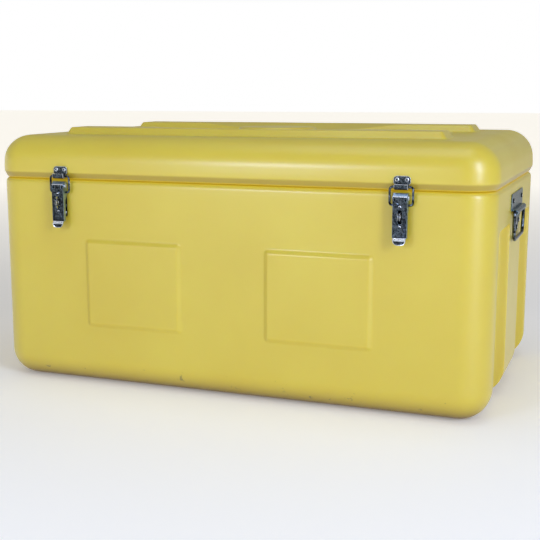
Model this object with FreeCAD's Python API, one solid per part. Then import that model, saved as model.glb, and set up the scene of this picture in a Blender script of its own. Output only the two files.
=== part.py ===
"""Large moulded toolbox: hollow base and lid, two over-centre latches, two end handles, two hinges.

Millimetres. X runs along the length, Y to the back, Z up; the origin is under the middle of the box,
on the surface that it stands on. The latches are on the front, at negative Y.
"""
import FreeCAD, Part
import math
import os

V = FreeCAD.Vector
HALF = 0.5
QUARTER_TURN = 90.0
HALF_TURN = 180.0
FULL_TURN = 360.0
match_gap = 0.01

# Moulded box
lid_length = 850.0
lid_depth = 514.0
parting_height = 350.0
lid_height = 76.5
corner_radius = 51.0
lid_top_round = 50.0
base_bottom_round = 48.5
lid_overhang = 2.3
wall = 6.0
parting_gap = 0.4
lid_edge_chamfer = 9.5
base_lip_round = 9.0
rim_width = 26.0
rim_height = 11.0
overrun = 5.0

# Raised panels on the front: each edge rises in soft steps, as shares of its width and of the height
panel_inner_x = 70.5
panel_end_inset = 176.5
panel_low_z = 102.0
panel_top_drop = 97.0
panel_proud = 4.5
panel_bevel = 9.0
panel_corner = 10.0
panel_step_shares = ((0.0, 0.0), (0.26, 0.36), (0.6, 0.82), (1.0, 1.0))

# Channels in the end walls
channel_depth = 16.0
channel_inner_y = 69.0
channel_side_inset = 60.0
channel_top_drop = 63.0
channel_draft = 4.0
channel_corner = 12.0

# Ribs, scoop and round boss on the lid
rib_height = 10.2
rib_end_inset = 88.5
rib_side_inset = 85.5
rib_width = 77.0
rib_slope = 11.5
rib_corner = 14.0
rib_top_corner = 7.0
scoop_foot_end_gap = 173.5
scoop_foot_side_gap = 16.5
scoop_top_end_gap = 68.5
scoop_top_side_gap = 20.5
scoop_reach_share = 2.0
boss_foot_radius = 72.0
boss_height = 7.5
boss_slope = 4.5
boss_edge_round = 2.5

# Seal in the lid's rim
seal_inset = 14.0
seal_width = 8.0
seal_depth = 4.0
seal_side_gap = 0.3
seal_face_gap = 0.3

# Rivets: a domed head outside, a shank, and an upset head inside
rivet_shank_radius = 2.4
rivet_head_radius = 3.3
rivet_head_height = 1.5
rivet_upset_radius = 4.0
rivet_upset_height = 1.4
rivet_hole_gap = 0.05

# Rear hinges: their heights, and those of the latches and handles, are from the parting line
hinge_end_inset = 140.0
hinge_width = 76.0
leaf_thickness = 2.5
leaf_low_z = -44.0
leaf_high_z = 31.0
leaf_corner = 6.0
joggle_height = 6.0
joggle_start_drop = 14.0
knuckle_radius = 6.0
knuckle_wall_gap = 0.6
knuckle_side_gap = 0.4
knuckle_swing_gap = 0.5
middle_knuckle_length = 25.2
hinge_pin_radius = 2.5
hinge_pin_gap = 0.05
hinge_pin_head_radius = 4.2
hinge_pin_head_height = 1.6
hinge_rivet_pitch = 26.0
lower_leaf_rivet_z = -30.0
upper_leaf_rivet_z = 21.5

# Latches
latch_end_inset = 136.0
pin_out = 8.3
pin_z = -10.0
latch_pin_radius = 2.4
latch_pin_gap = 0.05
latch_pin_head_radius = 3.4
latch_pin_head_height = 1.1
latch_side_gap = 0.35
crank_in = 2.0
crank_down = 10.7
bar_z = 6.3
wire_radius = 1.75
wire_gap = 0.05
loop_half_width = 17.5
loop_corner = 5.0
loop_foot_bend = 4.0

bracket_thickness = 1.8
bracket_half_width = 9.1
bracket_low_z = -62.0
bracket_high_z = -12.5
bracket_corner = 3.0
ear_radius = 4.2
ear_root_z = -26.0
ear_web_drop = 1.8
bracket_low_rivet_z = -55.0
bracket_high_rivet_z = -23.5
bracket_low_rivet_x = 4.6

staple_thickness = 3.0
staple_z = -37.0
staple_half_height = 6.0
staple_nose_out = 16.7
staple_hole_out = 18.2
staple_hole_radius = 3.5

lever_half_width = 11.0
lever_sheet = 1.5
lever_face_out = 14.6
lever_top_z = -2.7
lever_top_out = 9.5
lever_brow_z = -7.6
lever_brow_round = 2.2
lever_heel_radius = 6.0
lever_heel_round = 4.5
lever_back_out = 2.8
lever_heel_low_z = -26.0
lever_waist_z = -34.0
lever_waist_out = 8.6
lever_bend_z = -68.5
lever_step_height = 3.2
lever_step_out = 2.6
lever_tip_z = -79.0
lever_tip_round = 7.5
lever_ear_slot_half_width = 1.5
lever_ear_slot_half_height = 2.8
lever_ear_slot_corner = 0.7
lever_tab_inset = 1.2
lever_slot_half_width = 3.4
lever_slot_high_z = -27.0
lever_slot_low_z = -48.0
lever_slot_corner = 2.7
lever_dimple_radius = 2.2
lever_dimple_height = 0.7
lever_dimple_high_z = -23.0
lever_dimple_low_z = -52.0

keeper_sheet = 1.8
keeper_half_width = 10.1
keeper_ear_half_width = 12.9
keeper_ear_radius = 5.4
keeper_shoulder_drop = 2.5
keeper_shoulder_round = 3.0
keeper_rivet_x = 7.4
keeper_rivet_z = 16.5
hook_inner_radius = 3.2
hook_centre_rise = 0.4
hook_lip_rise = 3.2

# End handles
handle_z = -48.0
handle_wire_radius = 2.9
handle_wire_gap = 0.35
handle_sheet = 1.8
handle_axis_out = 5.0
plate_half_width = 70.0
plate_top_z = -18.0
plate_corner = 4.0
hood_half_width = 55.5
hood_start_turn = 15.5
hood_end_turn = 62.0
tongue_half_width = 34.0
tongue_wall_z = -62.0
tongue_low_z = -85.0
tongue_corner = 6.0
plate_rivet_y = 53.0
plate_rivet_z = -29.5
tongue_rivet_z = -78.0
tongue_low_half_width = 10.0
tongue_pair_y = 20.0
tongue_pair_z = -68.5
tongue_shoulder_z = -63.0
bail_half_width = 61.0
bail_top_bend = 5.0
bail_waist_drop = 22.5
bail_waist_bend = 90.0
bail_bottom_half_width = 53.0
bail_bottom_bend = 11.0
bail_drop = 45.0
bail_end_gap = 0.4

# Sizes that follow
base_length = lid_length - 2 * lid_overhang
base_depth = lid_depth - 2 * lid_overhang
base_corner = corner_radius - lid_overhang
lid_low_z = parting_height + parting_gap
crest_height = parting_height + lid_height
base_end_x = base_length * HALF
base_front_y = -base_depth * HALF
base_back_y = base_depth * HALF
lid_end_x = lid_length * HALF
lid_back_y = lid_depth * HALF
panel_outer_x = lid_end_x - panel_end_inset
panel_high_z = parting_height - panel_top_drop
channel_outer_y = lid_back_y - channel_side_inset
channel_top_z = parting_height - channel_top_drop
rib_foot_x = lid_end_x - rib_end_inset
rib_outer_y = lid_back_y - rib_side_inset
rib_inner_y = rib_outer_y - rib_width
scoop_foot_x = rib_foot_x - scoop_foot_end_gap
scoop_foot_y = rib_inner_y + scoop_foot_side_gap
scoop_top_x = rib_foot_x - scoop_top_end_gap
scoop_top_y = rib_outer_y - scoop_top_side_gap
hinge_x = lid_end_x - hinge_end_inset
hinge_axis_y = lid_back_y + knuckle_wall_gap + knuckle_radius
latch_x = lid_end_x - latch_end_inset
bar_out = pin_out - crank_in
crank_z = pin_z - crank_down
ear_inner_x = bracket_half_width - bracket_thickness
lever_inner_half = bracket_half_width + latch_side_gap
keeper_face_out = lid_overhang + keeper_sheet
hook_centre_out = keeper_face_out + hook_inner_radius
hook_centre_z = bar_z + hook_centre_rise
hood_inner_radius = handle_wire_radius + handle_wire_gap
hood_outer_radius = hood_inner_radius + handle_sheet


def arc_through(centre, radius, angles, place):
    """Arc round a centre from the first angle to the last, through the middle one, in degrees."""
    points = []
    for angle in angles:
        turn = math.radians(angle)
        points.append(place(centre[0] + radius * math.cos(turn), centre[1] + radius * math.sin(turn)))
    return Part.Arc(points[0], points[1], points[2]).toShape()


def outline(points, place):
    """Closed wire through points in a plane; a point may carry a corner radius as its third value."""
    count = len(points)
    starts, ends, arcs = [], [], []
    for i, point in enumerate(points):
        here = V(point[0], point[1], 0)
        radius = point[2] if len(point) > 2 else 0
        before = V(points[i - 1][0], points[i - 1][1], 0) - here
        after = V(points[(i + 1) % count][0], points[(i + 1) % count][1], 0) - here
        if radius == 0:
            starts.append(here)
            ends.append(here)
            arcs.append(None)
            continue
        before.normalize()
        after.normalize()
        half = before.getAngle(after) * HALF
        reach = radius / math.tan(half)
        middle = before + after
        middle.normalize()
        centre = here + middle * (radius / math.sin(half))
        starts.append(here + before * reach)
        ends.append(here + after * reach)
        arcs.append(centre - middle * radius)
    edges = []
    for i in range(count):
        if arcs[i] is not None:
            bend = Part.Arc(place(*starts[i][:2]), place(*arcs[i][:2]), place(*ends[i][:2]))
            edges.append(bend.toShape())
        following = starts[(i + 1) % count]
        if (following - ends[i]).Length > FreeCAD.Base.Precision.confusion():
            edges.append(Part.LineSegment(place(*ends[i][:2]), place(*following[:2])).toShape())
    return Part.Wire(edges)


def box_points(low_a, high_a, low_b, high_b, radius):
    """Corners of a rounded rectangle, for outline()."""
    return [(low_a, low_b, radius), (high_a, low_b, radius),
            (high_a, high_b, radius), (low_a, high_b, radius)]


def rectangle_ring(length, depth, radius, z):
    """Rounded rectangle about the Z axis, at one height."""
    points = box_points(-length * HALF, length * HALF, -depth * HALF, depth * HALF, radius)
    return outline(points, lambda a, b: V(a, b, z))


def plate(points, place, push):
    """Flat piece from an outline, pushed along a vector."""
    return Part.Face(outline(points, place)).extrude(push)


def edges_at(shape, z):
    """Edges that lie flat at one height."""
    found = []
    for edge in shape.Edges:
        if abs(edge.BoundBox.ZMin - z) < match_gap and abs(edge.BoundBox.ZMax - z) < match_gap:
            found.append(edge)
    return found


def block(length, depth, radius, low_z, high_z):
    """Upright block with round corners, about the Z axis."""
    return Part.Face(rectangle_ring(length, depth, radius, low_z)).extrude(V(0, 0, high_z - low_z))


def mirrored(shape):
    """The same piece for the left end."""
    return shape.mirror(V(0, 0, 0), V(1, 0, 0))


def fuse(shapes):
    """One solid from pieces that overlap or touch."""
    result = shapes[0]
    for shape in shapes[1:]:
        result = result.fuse(shape)
    return result.removeSplitter()


def cut(shape, tools):
    """A shape less its tools."""
    for tool in tools:
        shape = shape.cut(tool)
    return shape


def channel_tool(grow):
    """Tapered tool of one end channel at positive X and Y, grown by a wall on every side."""
    middle_x = base_end_x - grow
    rings = []
    for side in (-1, 1):
        spread = grow + side * channel_draft
        low = channel_inner_y - spread
        high = channel_outer_y + spread
        top = channel_top_z + spread
        x = middle_x + side * channel_depth
        points = [(low, -overrun), (high, -overrun), (high, top, channel_corner), (low, top, channel_corner)]
        rings.append(outline(points, lambda a, b, x=x: V(x, a, b)))
    return Part.makeLoft(rings, True, True)


def channel_tools(grow):
    """The four channels, two in each end."""
    one = channel_tool(grow)
    pair = [one, one.mirror(V(0, 0, 0), V(0, 1, 0))]
    return pair + [mirrored(tool) for tool in pair]


def panel_pad(inset):
    """Raised panel with softly sloping edges on the front wall, at positive X."""
    rings = []
    for width_share, height_share in panel_step_shares:
        shrink = inset + width_share * panel_bevel
        y = base_front_y + inset - height_share * panel_proud
        points = box_points(panel_inner_x + shrink, panel_outer_x - shrink,
                            panel_low_z + shrink, panel_high_z - shrink, panel_corner)
        rings.append(outline(points, lambda a, b, y=y: V(a, y, b)))
    pad = Part.makeLoft(rings, True, True)
    return fuse([pad, Part.Face(rings[0]).extrude(V(0, wall * HALF, 0))])


def rivet(radius_gap, grip):
    """Rivet along +Z with its seat at zero: head above, shank and upset head below the grip."""
    shank = rivet_shank_radius - radius_gap
    crown = (rivet_head_radius ** 2 - rivet_head_height ** 2) / (2 * rivet_head_height)
    dome = rivet_head_height + crown
    rim_angle = math.degrees(math.atan2(crown, rivet_head_radius))
    place = lambda a, b: V(a, 0, b)
    arc = arc_through((0, -crown), dome, (rim_angle, (rim_angle + QUARTER_TURN) * HALF, QUARTER_TURN), place)
    corners = [V(0, 0, rivet_head_height), V(0, 0, -grip - rivet_upset_height),
               V(rivet_upset_radius, 0, -grip - rivet_upset_height), V(rivet_upset_radius, 0, -grip),
               V(shank, 0, -grip), V(shank, 0, 0), V(rivet_head_radius, 0, 0)]
    edges = [Part.LineSegment(a, b).toShape() for a, b in zip(corners, corners[1:])]
    return Part.Face(Part.Wire(edges + [arc])).revolve(V(0, 0, 0), V(0, 0, 1), FULL_TURN)


def aimed(shape, seat, outward):
    """A piece built along +Z, turned to point outward and moved to its seat."""
    copy = shape.copy()
    turn = FreeCAD.Rotation(V(0, 0, 1), outward)
    copy.Placement = FreeCAD.Placement(seat, turn)
    return copy


def rivets_at(seats, outward, sheet):
    """Rivets through a sheet and the moulded wall; seats lie on the sheet's outer face."""
    one = rivet(rivet_hole_gap, sheet + wall)
    return [aimed(one, seat, outward) for seat in seats]


def holes_at(seats, outward, sheet):
    """Holes for those rivets."""
    depth = sheet + wall + overrun
    drill = Part.makeCylinder(rivet_shank_radius, depth + overrun, V(0, 0, -depth))
    return [aimed(drill, seat, outward) for seat in seats]


# Rivet seats, on the outer face of the sheet that each one holds
FRONT = V(0, -1, 0)
BACK = V(0, 1, 0)
RIGHT = V(1, 0, 0)
bracket_face_y = base_front_y - bracket_thickness
bracket_seats = [V(-bracket_low_rivet_x, bracket_face_y, bracket_low_rivet_z),
                 V(bracket_low_rivet_x, bracket_face_y, bracket_low_rivet_z),
                 V(0, bracket_face_y, bracket_high_rivet_z)]
keeper_face_y = base_front_y - keeper_face_out
keeper_seats = [V(side * keeper_rivet_x, keeper_face_y, keeper_rivet_z) for side in (-1, 1)]
handle_face_x = base_end_x + handle_sheet
handle_seats = [V(handle_face_x, side * plate_rivet_y, plate_rivet_z) for side in (-1, 1)]
handle_seats += [V(handle_face_x, side * tongue_pair_y, tongue_pair_z) for side in (-1, 1)]
handle_seats.append(V(handle_face_x, 0, tongue_rivet_z))
lower_leaf_seats = [V(step * hinge_rivet_pitch, base_back_y + leaf_thickness, lower_leaf_rivet_z)
                    for step in (-1, 0, 1)]
upper_leaf_seats = [V(step * hinge_rivet_pitch, lid_back_y + leaf_thickness, upper_leaf_rivet_z)
                    for step in (-1, 0, 1)]


def fitted(items, x):
    """Points or shapes of a fitting, moved along X and up to the parting line."""
    move = V(x, 0, parting_height)
    moved = []
    for item in items:
        if isinstance(item, FreeCAD.Vector):
            moved.append(item + move)
        else:
            copy = item.copy()
            copy.translate(move)
            moved.append(copy)
    return moved


def base_shell():
    """Hollow base: round bottom edge, thick rim, end channels and front panels of even wall."""
    body = block(base_length, base_depth, base_corner, 0, parting_height)
    body = body.makeFillet(base_bottom_round, edges_at(body, 0))
    body = body.makeFillet(base_lip_round, edges_at(body, parting_height))
    body = fuse([body, panel_pad(0), mirrored(panel_pad(0))])
    hollow = block(base_length - 2 * wall, base_depth - 2 * wall, base_corner - wall, wall,
                   parting_height - rim_height)
    hollow = hollow.makeFillet(base_bottom_round - wall, edges_at(hollow, wall))
    hollow = fuse([hollow, panel_pad(wall), mirrored(panel_pad(wall))])
    hollow = cut(hollow, channel_tools(wall))
    mouth = block(lid_length - 2 * rim_width, lid_depth - 2 * rim_width, base_corner - wall,
                  parting_height - rim_height - wall, parting_height + overrun)
    mouth = cut(mouth, channel_tools(wall))
    body = cut(body, channel_tools(0) + [hollow, mouth])
    drills = []
    for side in (-1, 1):
        drills += holes_at(fitted(bracket_seats, side * latch_x), FRONT, bracket_thickness)
        drills += holes_at(fitted(lower_leaf_seats, side * hinge_x), BACK, leaf_thickness)
    ends = holes_at(fitted(handle_seats, 0), RIGHT, handle_sheet)
    return cut(body, drills + ends + [mirrored(hole) for hole in ends])


def lid_rib(side, inset, drop):
    """Long rib with sloping sides; an inset and a drop give the hollow under it."""
    rings = []
    for rise, slope, corner in ((0, 0, rib_corner), (rib_height, rib_slope, rib_top_corner)):
        shrink = inset + slope
        z = crest_height - drop + rise
        near = side * (rib_inner_y + shrink)
        far = side * (rib_outer_y - shrink)
        points = box_points(-rib_foot_x + shrink, rib_foot_x - shrink, min(near, far), max(near, far),
                            corner)
        rings.append(outline(points, lambda a, b, z=z: V(a, b, z)))
    return fuse([Part.makeLoft(rings, True, True), Part.Face(rings[0]).extrude(V(0, 0, -wall * HALF))])


def lid_scoop(drop):
    """Shallow oval scoop that opens both ribs round the boss, and runs on above them."""
    rings = []
    for share in (0, scoop_reach_share):
        major = scoop_foot_x + share * (scoop_top_x - scoop_foot_x)
        minor = scoop_foot_y + share * (scoop_top_y - scoop_foot_y)
        z = crest_height - drop + share * rib_height
        oval = Part.Ellipse(V(0, 0, z), major, minor).toShape()
        rings.append(Part.Wire([oval]))
    return Part.makeLoft(rings, True, True)


def lid_boss(inset, drop):
    """Round boss in the middle of the lid, with a sloping side and a rounded edge."""
    foot = boss_foot_radius - inset
    low = crest_height - drop
    cone = Part.makeCone(foot, foot - boss_slope, boss_height, V(0, 0, low))
    cone = cone.makeFillet(boss_edge_round, edges_at(cone, low + boss_height))
    return fuse([cone, Part.makeCylinder(foot, wall * HALF, V(0, 0, low - wall * HALF))])


def lid_shell():
    """Hollow lid: wide top round, chamfered lower edge, ribs, boss, and a groove for the seal."""
    body = block(lid_length, lid_depth, corner_radius, lid_low_z, crest_height)
    body = body.makeFillet(lid_top_round, edges_at(body, crest_height))
    body = body.makeChamfer(lid_edge_chamfer, edges_at(body, lid_low_z))
    ribs = [cut(lid_rib(side, 0, 0), [lid_scoop(0)]) for side in (-1, 1)]
    body = fuse([body] + ribs + [lid_boss(0, 0)])
    ceiling = crest_height - wall
    hollow = block(lid_length - 2 * wall, lid_depth - 2 * wall, corner_radius - wall,
                   lid_low_z + rim_height, ceiling)
    hollow = hollow.makeFillet(lid_top_round - wall, edges_at(hollow, ceiling))
    pockets = [cut(lid_rib(side, wall * HALF, wall), [lid_scoop(wall)]) for side in (-1, 1)]
    hollow = fuse([hollow] + pockets + [lid_boss(wall * HALF, wall)])
    mouth = block(lid_length - 2 * rim_width, lid_depth - 2 * rim_width, corner_radius - wall,
                  lid_low_z - overrun, lid_low_z + rim_height + wall)
    body = cut(body, [hollow, mouth, seal_ring(0, lid_low_z - overrun, lid_low_z + seal_depth)])
    drills = []
    for side in (-1, 1):
        drills += holes_at(fitted(keeper_seats, side * latch_x), FRONT, keeper_sheet)
        drills += holes_at(fitted(upper_leaf_seats, side * hinge_x), BACK, leaf_thickness)
    return cut(body, drills)


def seal_ring(side_gap, low_z, high_z):
    """Ring that follows the rim."""
    outer = seal_inset + side_gap
    inner = seal_inset + seal_width - side_gap
    ring = block(lid_length - 2 * outer, lid_depth - 2 * outer, corner_radius - outer, low_z, high_z)
    hole = block(lid_length - 2 * inner, lid_depth - 2 * inner, corner_radius - inner,
                 low_z - overrun, high_z + overrun)
    return ring.cut(hole)


def leaf_plate(face_y, low_z, high_z, round_low):
    """Flat leaf on a wall; only the corners away from the pin are rounded."""
    half = hinge_width * HALF
    low_round = leaf_corner if round_low else 0
    high_round = 0 if round_low else leaf_corner
    points = [(-half, low_z, low_round), (half, low_z, low_round),
              (half, high_z, high_round), (-half, high_z, high_round)]
    return plate(points, lambda a, b: V(a, face_y, b), V(0, leaf_thickness, 0))


def knuckle(low_x, high_x, radius):
    """Cylinder on the hinge axis between two X values."""
    return Part.makeCylinder(radius, high_x - low_x, V(low_x, hinge_axis_y, 0), V(1, 0, 0))


def outer_knuckles(radius, spread):
    """The lower leaf's two knuckles; spread widens them into clearance tools."""
    half = hinge_width * HALF
    inner = middle_knuckle_length * HALF + knuckle_side_gap - spread
    return [knuckle(inner, half + spread, radius), knuckle(-half - spread, -inner, radius)]


def middle_knuckle(radius, spread):
    """The upper leaf's knuckle, likewise."""
    half = middle_knuckle_length * HALF + spread
    return knuckle(-half, half, radius)


def hinge_bore():
    """Bore for the pin, right through."""
    half = hinge_width * HALF + overrun
    return knuckle(-half, half, hinge_pin_radius + hinge_pin_gap)


def hinge_lower_leaf():
    """Leaf on the base: it steps out by the lid's overhang below the pin."""
    half = hinge_width * HALF
    step_low = -joggle_start_drop
    step_high = step_low + joggle_height
    flat = leaf_plate(base_back_y, leaf_low_z, step_low, True)
    side = [(base_back_y, step_low), (base_back_y + leaf_thickness, step_low),
            (lid_back_y + leaf_thickness, step_high), (lid_back_y + leaf_thickness, 0),
            (lid_back_y, 0), (lid_back_y, step_high)]
    neck = plate(side, lambda a, b: V(-half, a, b), V(hinge_width, 0, 0))
    leaf = fuse([flat, neck] + outer_knuckles(knuckle_radius, 0))
    swing = middle_knuckle(knuckle_radius + knuckle_swing_gap, knuckle_side_gap)
    leaf = cut(leaf, [swing, hinge_bore()])
    return cut(leaf, holes_at(lower_leaf_seats, BACK, leaf_thickness))


def hinge_upper_leaf():
    """Leaf on the lid, with the middle knuckle."""
    leaf = fuse([leaf_plate(lid_back_y, 0, leaf_high_z, False), middle_knuckle(knuckle_radius, 0)])
    swing = outer_knuckles(knuckle_radius + knuckle_swing_gap, knuckle_side_gap)
    leaf = cut(leaf, swing + [hinge_bore()])
    return cut(leaf, holes_at(upper_leaf_seats, BACK, leaf_thickness))


def headed_pin(radius, half_length, head_radius, head_height, centre):
    """Pin along X with a rounded head on each end."""
    pin = Part.makeCylinder(radius, 2 * half_length, V(-half_length, 0, 0), V(1, 0, 0))
    heads = []
    for side in (-1, 1):
        head = Part.makeCylinder(head_radius, head_height, V(side * half_length, 0, 0), V(side, 0, 0))
        far = side * (half_length + head_height)
        rim = [edge for edge in head.Edges if abs(edge.BoundBox.XMin - far) < head_height * HALF
               and abs(edge.BoundBox.XMax - far) < head_height * HALF]
        heads.append(head.makeFillet(head_height * HALF, rim))
    pin = fuse([pin] + heads)
    pin.translate(centre)
    return pin


def hinge_pin():
    """Pin through all three knuckles."""
    half = hinge_width * HALF + hinge_pin_gap
    return headed_pin(hinge_pin_radius, half, hinge_pin_head_radius, hinge_pin_head_height,
                      V(0, hinge_axis_y, 0))


def side_view(out, z):
    """A point of a latch's side view, by its distance out from the base's front wall."""
    return V(0, base_front_y - out, z)


def x_plate(points, x, thickness):
    """Sheet in a latch's side view, from x, thickness along X."""
    shape = plate(points, side_view, V(thickness, 0, 0))
    shape.translate(V(x, 0, 0))
    return shape


def x_bore(out, z, radius):
    """Bore along X right through a latch."""
    reach = lever_half_width + overrun
    return Part.makeCylinder(radius, 2 * reach, V(-reach, base_front_y - out, z), V(1, 0, 0))


def latch_bracket():
    """Plate on the wall with two ears that carry the lever's pin."""
    points = box_points(-bracket_half_width, bracket_half_width, bracket_low_z, bracket_high_z,
                        bracket_corner)
    back = plate(points, lambda a, b: V(a, base_front_y, b), V(0, -bracket_thickness, 0))
    slant = ear_radius * math.sqrt(HALF)
    ear = [(0, ear_root_z), (pin_out + slant, pin_z - slant), (pin_out - ear_radius, pin_z - ear_web_drop),
           (0, bracket_high_z)]
    ears = []
    for x in (-bracket_half_width, ear_inner_x):
        ears.append(x_plate(ear, x, bracket_thickness))
        ears.append(Part.makeCylinder(ear_radius, bracket_thickness, V(x, base_front_y - pin_out, pin_z),
                                      V(1, 0, 0)))
    bracket = fuse([back] + ears)
    bracket = cut(bracket, [x_bore(pin_out, pin_z, latch_pin_radius)])
    return cut(bracket, holes_at(bracket_seats, FRONT, bracket_thickness))


def latch_staple():
    """Padlock eye that stands on the bracket and comes out through the lever's slot."""
    low_z = staple_z - staple_half_height
    high_z = staple_z + staple_half_height
    points = [(bracket_thickness, low_z), (staple_nose_out, low_z),
              (staple_nose_out, high_z), (bracket_thickness, high_z)]
    half = staple_thickness * HALF
    web = x_plate(points, -half, staple_thickness)
    nose = Part.makeCylinder(staple_half_height, staple_thickness,
                             V(-half, base_front_y - staple_nose_out, staple_z), V(1, 0, 0))
    return cut(fuse([web, nose]), [x_bore(staple_hole_out, staple_z, staple_hole_radius)])


def latch_pin():
    """Pin of the lever."""
    return headed_pin(latch_pin_radius, lever_half_width + latch_side_gap, latch_pin_head_radius,
                      latch_pin_head_height, V(0, base_front_y - pin_out, pin_z))


def latch_lever():
    """Channel-shaped lever: heel round its pin, slot for the staple, stepped finger tip."""
    face_in = lever_face_out - lever_sheet
    heel_out = pin_out - lever_heel_radius
    side = [(lever_face_out, lever_bend_z), (lever_face_out, lever_brow_z, lever_brow_round),
            (lever_top_out, lever_top_z), (heel_out, pin_z + lever_heel_radius, lever_heel_round),
            (lever_back_out, lever_heel_low_z, lever_sheet),
            (lever_waist_out, lever_waist_z, lever_heel_radius), (lever_waist_out, lever_bend_z)]
    solid = x_plate(side, -lever_half_width, 2 * lever_half_width)
    cap_slope = (lever_top_z - lever_brow_z) / (lever_face_out - lever_top_out)
    cap_drop = lever_sheet * math.hypot(1, cap_slope)
    brow = lever_brow_z - cap_drop + cap_slope * lever_sheet
    far = brow + cap_slope * face_in
    low_z = lever_tip_z - overrun
    room = [(0, low_z), (face_in, low_z), (face_in, brow, lever_brow_round - lever_sheet), (0, far)]
    solid = cut(solid, [x_plate(room, -lever_inner_half, 2 * lever_inner_half)])
    step_z = lever_bend_z - lever_step_height
    tab_out = lever_face_out + lever_step_out
    tab = [(lever_face_out, lever_bend_z), (tab_out, step_z), (tab_out, lever_tip_z),
           (tab_out - lever_sheet, lever_tip_z), (tab_out - lever_sheet, step_z - lever_sheet * HALF),
           (face_in, lever_bend_z - lever_sheet * HALF), (face_in, lever_bend_z)]
    tip = x_plate(tab, -lever_half_width, 2 * lever_half_width)
    wide = lever_half_width - lever_tab_inset
    shape = [(-wide, lever_bend_z + lever_sheet), (-wide, lever_tip_z, lever_tip_round),
             (wide, lever_tip_z, lever_tip_round), (wide, lever_bend_z + lever_sheet)]
    blank = plate(shape, lambda a, b: V(a, base_front_y, b), V(0, -tab_out - overrun, 0))
    slot = box_points(-lever_slot_half_width, lever_slot_half_width, lever_slot_low_z, lever_slot_high_z,
                      lever_slot_corner)
    through = V(0, -lever_sheet - 2 * overrun, 0)
    windows = [plate(slot, lambda a, b: V(a, base_front_y - face_in + overrun, b), through)]
    for side in (-1, 1):
        middle = side * (ear_inner_x + bracket_thickness * HALF)
        slit = box_points(middle - lever_ear_slot_half_width, middle + lever_ear_slot_half_width,
                          pin_z - ear_web_drop - lever_ear_slot_half_height,
                          pin_z - ear_web_drop + lever_ear_slot_half_height, lever_ear_slot_corner)
        windows.append(plate(slit, lambda a, b: V(a, base_front_y - face_in + overrun, b), through))
    lever = fuse([solid, tip.common(blank)])
    lever = cut(lever, windows + [x_bore(pin_out, pin_z, latch_pin_radius + latch_pin_gap),
                        x_bore(bar_out, crank_z, wire_radius + wire_gap)])
    dimples = []
    for z in (lever_dimple_high_z, lever_dimple_low_z):
        dome = Part.makeCone(lever_dimple_radius, lever_dimple_radius * HALF, lever_dimple_height,
                             V(0, base_front_y - lever_face_out, z), FRONT)
        dimples.append(dome)
    return fuse([lever] + dimples)


def wire_sweep(edges, radius, start, direction):
    """Round wire along a path of lines and arcs."""
    ring = Part.Wire([Part.Circle(start, direction, radius).toShape()])
    return Part.Wire(edges).makePipeShell([ring], True, True)


def bent_path(points, place):
    """Edges of an open path whose inner points carry a bend radius."""
    edges = []
    at = V(points[0][0], points[0][1], 0)
    for before, here, after in zip(points, points[1:], points[2:]):
        corner = V(here[0], here[1], 0)
        back = V(before[0], before[1], 0) - corner
        ahead = V(after[0], after[1], 0) - corner
        back.normalize()
        ahead.normalize()
        half = back.getAngle(ahead) * HALF
        reach = here[2] / math.tan(half)
        middle = back + ahead
        middle.normalize()
        centre = corner + middle * (here[2] / math.sin(half))
        start, through, end = corner + back * reach, centre - middle * here[2], corner + ahead * reach
        edges.append(Part.LineSegment(place(*at[:2]), place(*start[:2])).toShape())
        edges.append(Part.Arc(place(*start[:2]), place(*through[:2]), place(*end[:2])).toShape())
        at = end
    last = points[-1]
    edges.append(Part.LineSegment(place(*at[:2]), place(last[0], last[1])).toShape())
    return edges


def latch_loop():
    """Wire loop: its ends turn in through the lever's cheeks and its bar lies in the keeper's hook."""
    y = base_front_y - bar_out
    end = lever_inner_half
    points = [(-end, crank_z), (-loop_half_width, crank_z, loop_foot_bend),
              (-loop_half_width, bar_z, loop_corner), (loop_half_width, bar_z, loop_corner),
              (loop_half_width, crank_z, loop_foot_bend), (end, crank_z)]
    edges = bent_path(points, lambda a, b: V(a, y, b))
    return wire_sweep(edges, wire_radius, V(-end, y, crank_z), V(-1, 0, 0))


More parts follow.
